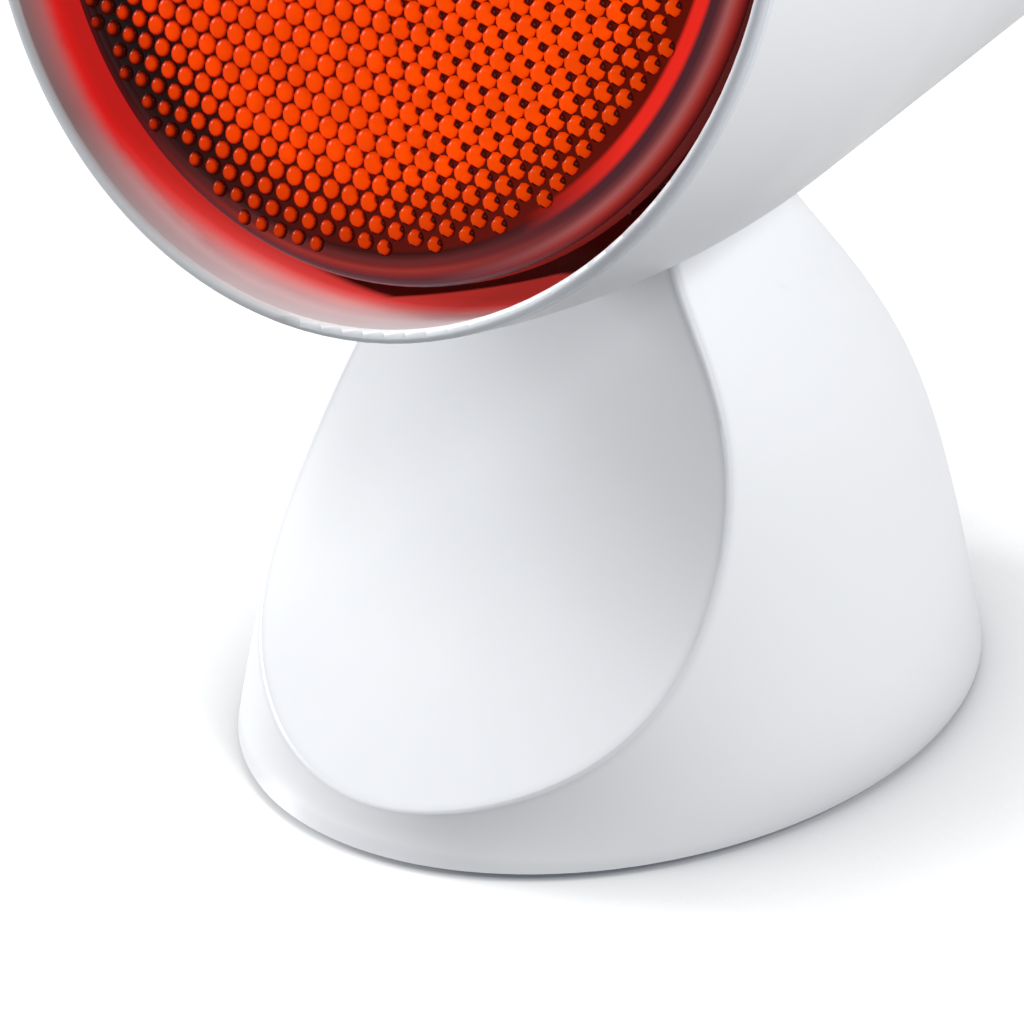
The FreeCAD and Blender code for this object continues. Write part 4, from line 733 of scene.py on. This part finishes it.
def floor_finish():
    """A pale floor that looks white, with a soft shadow by the foot."""
    m = Finish("pale_floor")
    m.set(Base_Color=(FLOOR_GREY, FLOOR_GREY, FLOOR_GREY, 1), Roughness=0.9, Specular_IOR_Level=0.1)
    near = m.add("ShaderNodeAmbientOcclusion", samples=16)
    near.inputs["Distance"].default_value = CONTACT_REACH
    aside = m.add("ShaderNodeVectorMath", operation="DOT_PRODUCT")
    aside.inputs[1].default_value = AWAY_FROM_LIGHT
    m.link(m.place, aside.inputs[0])
    # The shadow by the foot is fainter on the side that the main light comes from.
    weight = m.spread(aside.outputs["Value"], 0.50, 1.0, -50 * MM, 0.0)
    shadow = m.join("MULTIPLY", m.join("SUBTRACT", 1.0, near.outputs["AO"]), weight)
    m.feed("Emission Color", m.ramp(m.join("SUBTRACT", 1.0, shadow), [
        (0.35, (0.10, 0.11, 0.13)),
        (0.60, (0.34, 0.35, 0.37)),
        (0.84, (0.58, 0.59, 0.60)),
        (0.96, (0.93, 0.93, 0.93))]))
    far = m.add("ShaderNodeVectorMath", operation="LENGTH")
    m.link(m.place, far.inputs[0])
    paler = m.spread(far.outputs["Value"], 1.0, 1.35, 0.30, 0.90)
    m.feed("Emission Strength", m.join("MULTIPLY", m.seen_directly(), paler))
    return m.material


def make_floor():
    mesh = bpy.data.meshes.new("floor")
    corners = [(FLOOR_HALF * x, FLOOR_HALF * y, FLOOR_LEVEL) for x, y in ((-1, -1), (1, -1), (1, 1), (-1, 1))]
    mesh.from_pydata(corners, [], [(0, 1, 2, 3)])
    floor = bpy.data.objects.new("floor", mesh)
    scene.collection.objects.link(floor)
    floor.data.materials.append(floor_finish())


# ---------------------------------------------------------------- surroundings and lights
SOFTBOX_SIDE = 0.35
SOFTBOX_AIM = (0, 0, 0.08)
SOFTBOXES = (
    ("left_softbox", (-1.213, -0.325, 0.416), 17.5),
    ("front_softbox", (-0.724, -0.724, 0.880), 3.4),
    ("right_softbox", (1.009, -0.178, 0.880), 10.0),
    ("back_softbox", (0.887, 0.512, 0.880), 6.8),
)


def make_surroundings():
    """White for the eye, a little less in a reflection, and a faint even light on the lamp."""
    world = bpy.data.worlds.new("studio")
    scene.world = world
    world.use_nodes = True
    tree = world.node_tree
    tree.nodes.clear()
    out = tree.nodes.new("ShaderNodeOutputWorld")
    seen = tree.nodes.new("ShaderNodeBackground")
    seen.inputs["Color"].default_value = (1, 1, 1, 1)
    seen.inputs["Strength"].default_value = 1.0
    lit = tree.nodes.new("ShaderNodeBackground")
    lit.inputs["Color"].default_value = (0.96, 0.98, 1, 1)
    lit.inputs["Strength"].default_value = 0.03
    path = tree.nodes.new("ShaderNodeLightPath")
    seen_by = path.outputs["Is Camera Ray"]
    for other, share in (("Is Glossy Ray", MIRRORED), ("Is Transmission Ray", 1.0)):
        part_seen = tree.nodes.new("ShaderNodeMath")
        part_seen.operation = "MULTIPLY"
        tree.links.new(path.outputs[other], part_seen.inputs[0])
        part_seen.inputs[1].default_value = share
        either = tree.nodes.new("ShaderNodeMath")
        either.operation = "MAXIMUM"
        tree.links.new(seen_by, either.inputs[0])
        tree.links.new(part_seen.outputs[0], either.inputs[1])
        seen_by = either.outputs[0]
    mix = tree.nodes.new("ShaderNodeMixShader")
    tree.links.new(seen_by, mix.inputs[0])
    tree.links.new(lit.outputs[0], mix.inputs[1])
    tree.links.new(seen.outputs[0], mix.inputs[2])
    tree.links.new(mix.outputs[0], out.inputs[0])


def add_softbox(name, place, power):
    data = bpy.data.lights.new(name, "AREA")
    data.shape = "SQUARE"
    data.size = SOFTBOX_SIDE
    data.energy = power
    lamp = bpy.data.objects.new(name, data)
    scene.collection.objects.link(lamp)
    direction = Vector(SOFTBOX_AIM) - Vector(place)
    lamp.matrix_world = Matrix.Translation(place) @ direction.to_track_quat("-Z", "Y").to_matrix().to_4x4()


make_floor()
make_surroundings()
for softbox in SOFTBOXES:
    add_softbox(*softbox)

scene.view_settings.view_transform = "Standard"
bpy.context.view_layer.update()
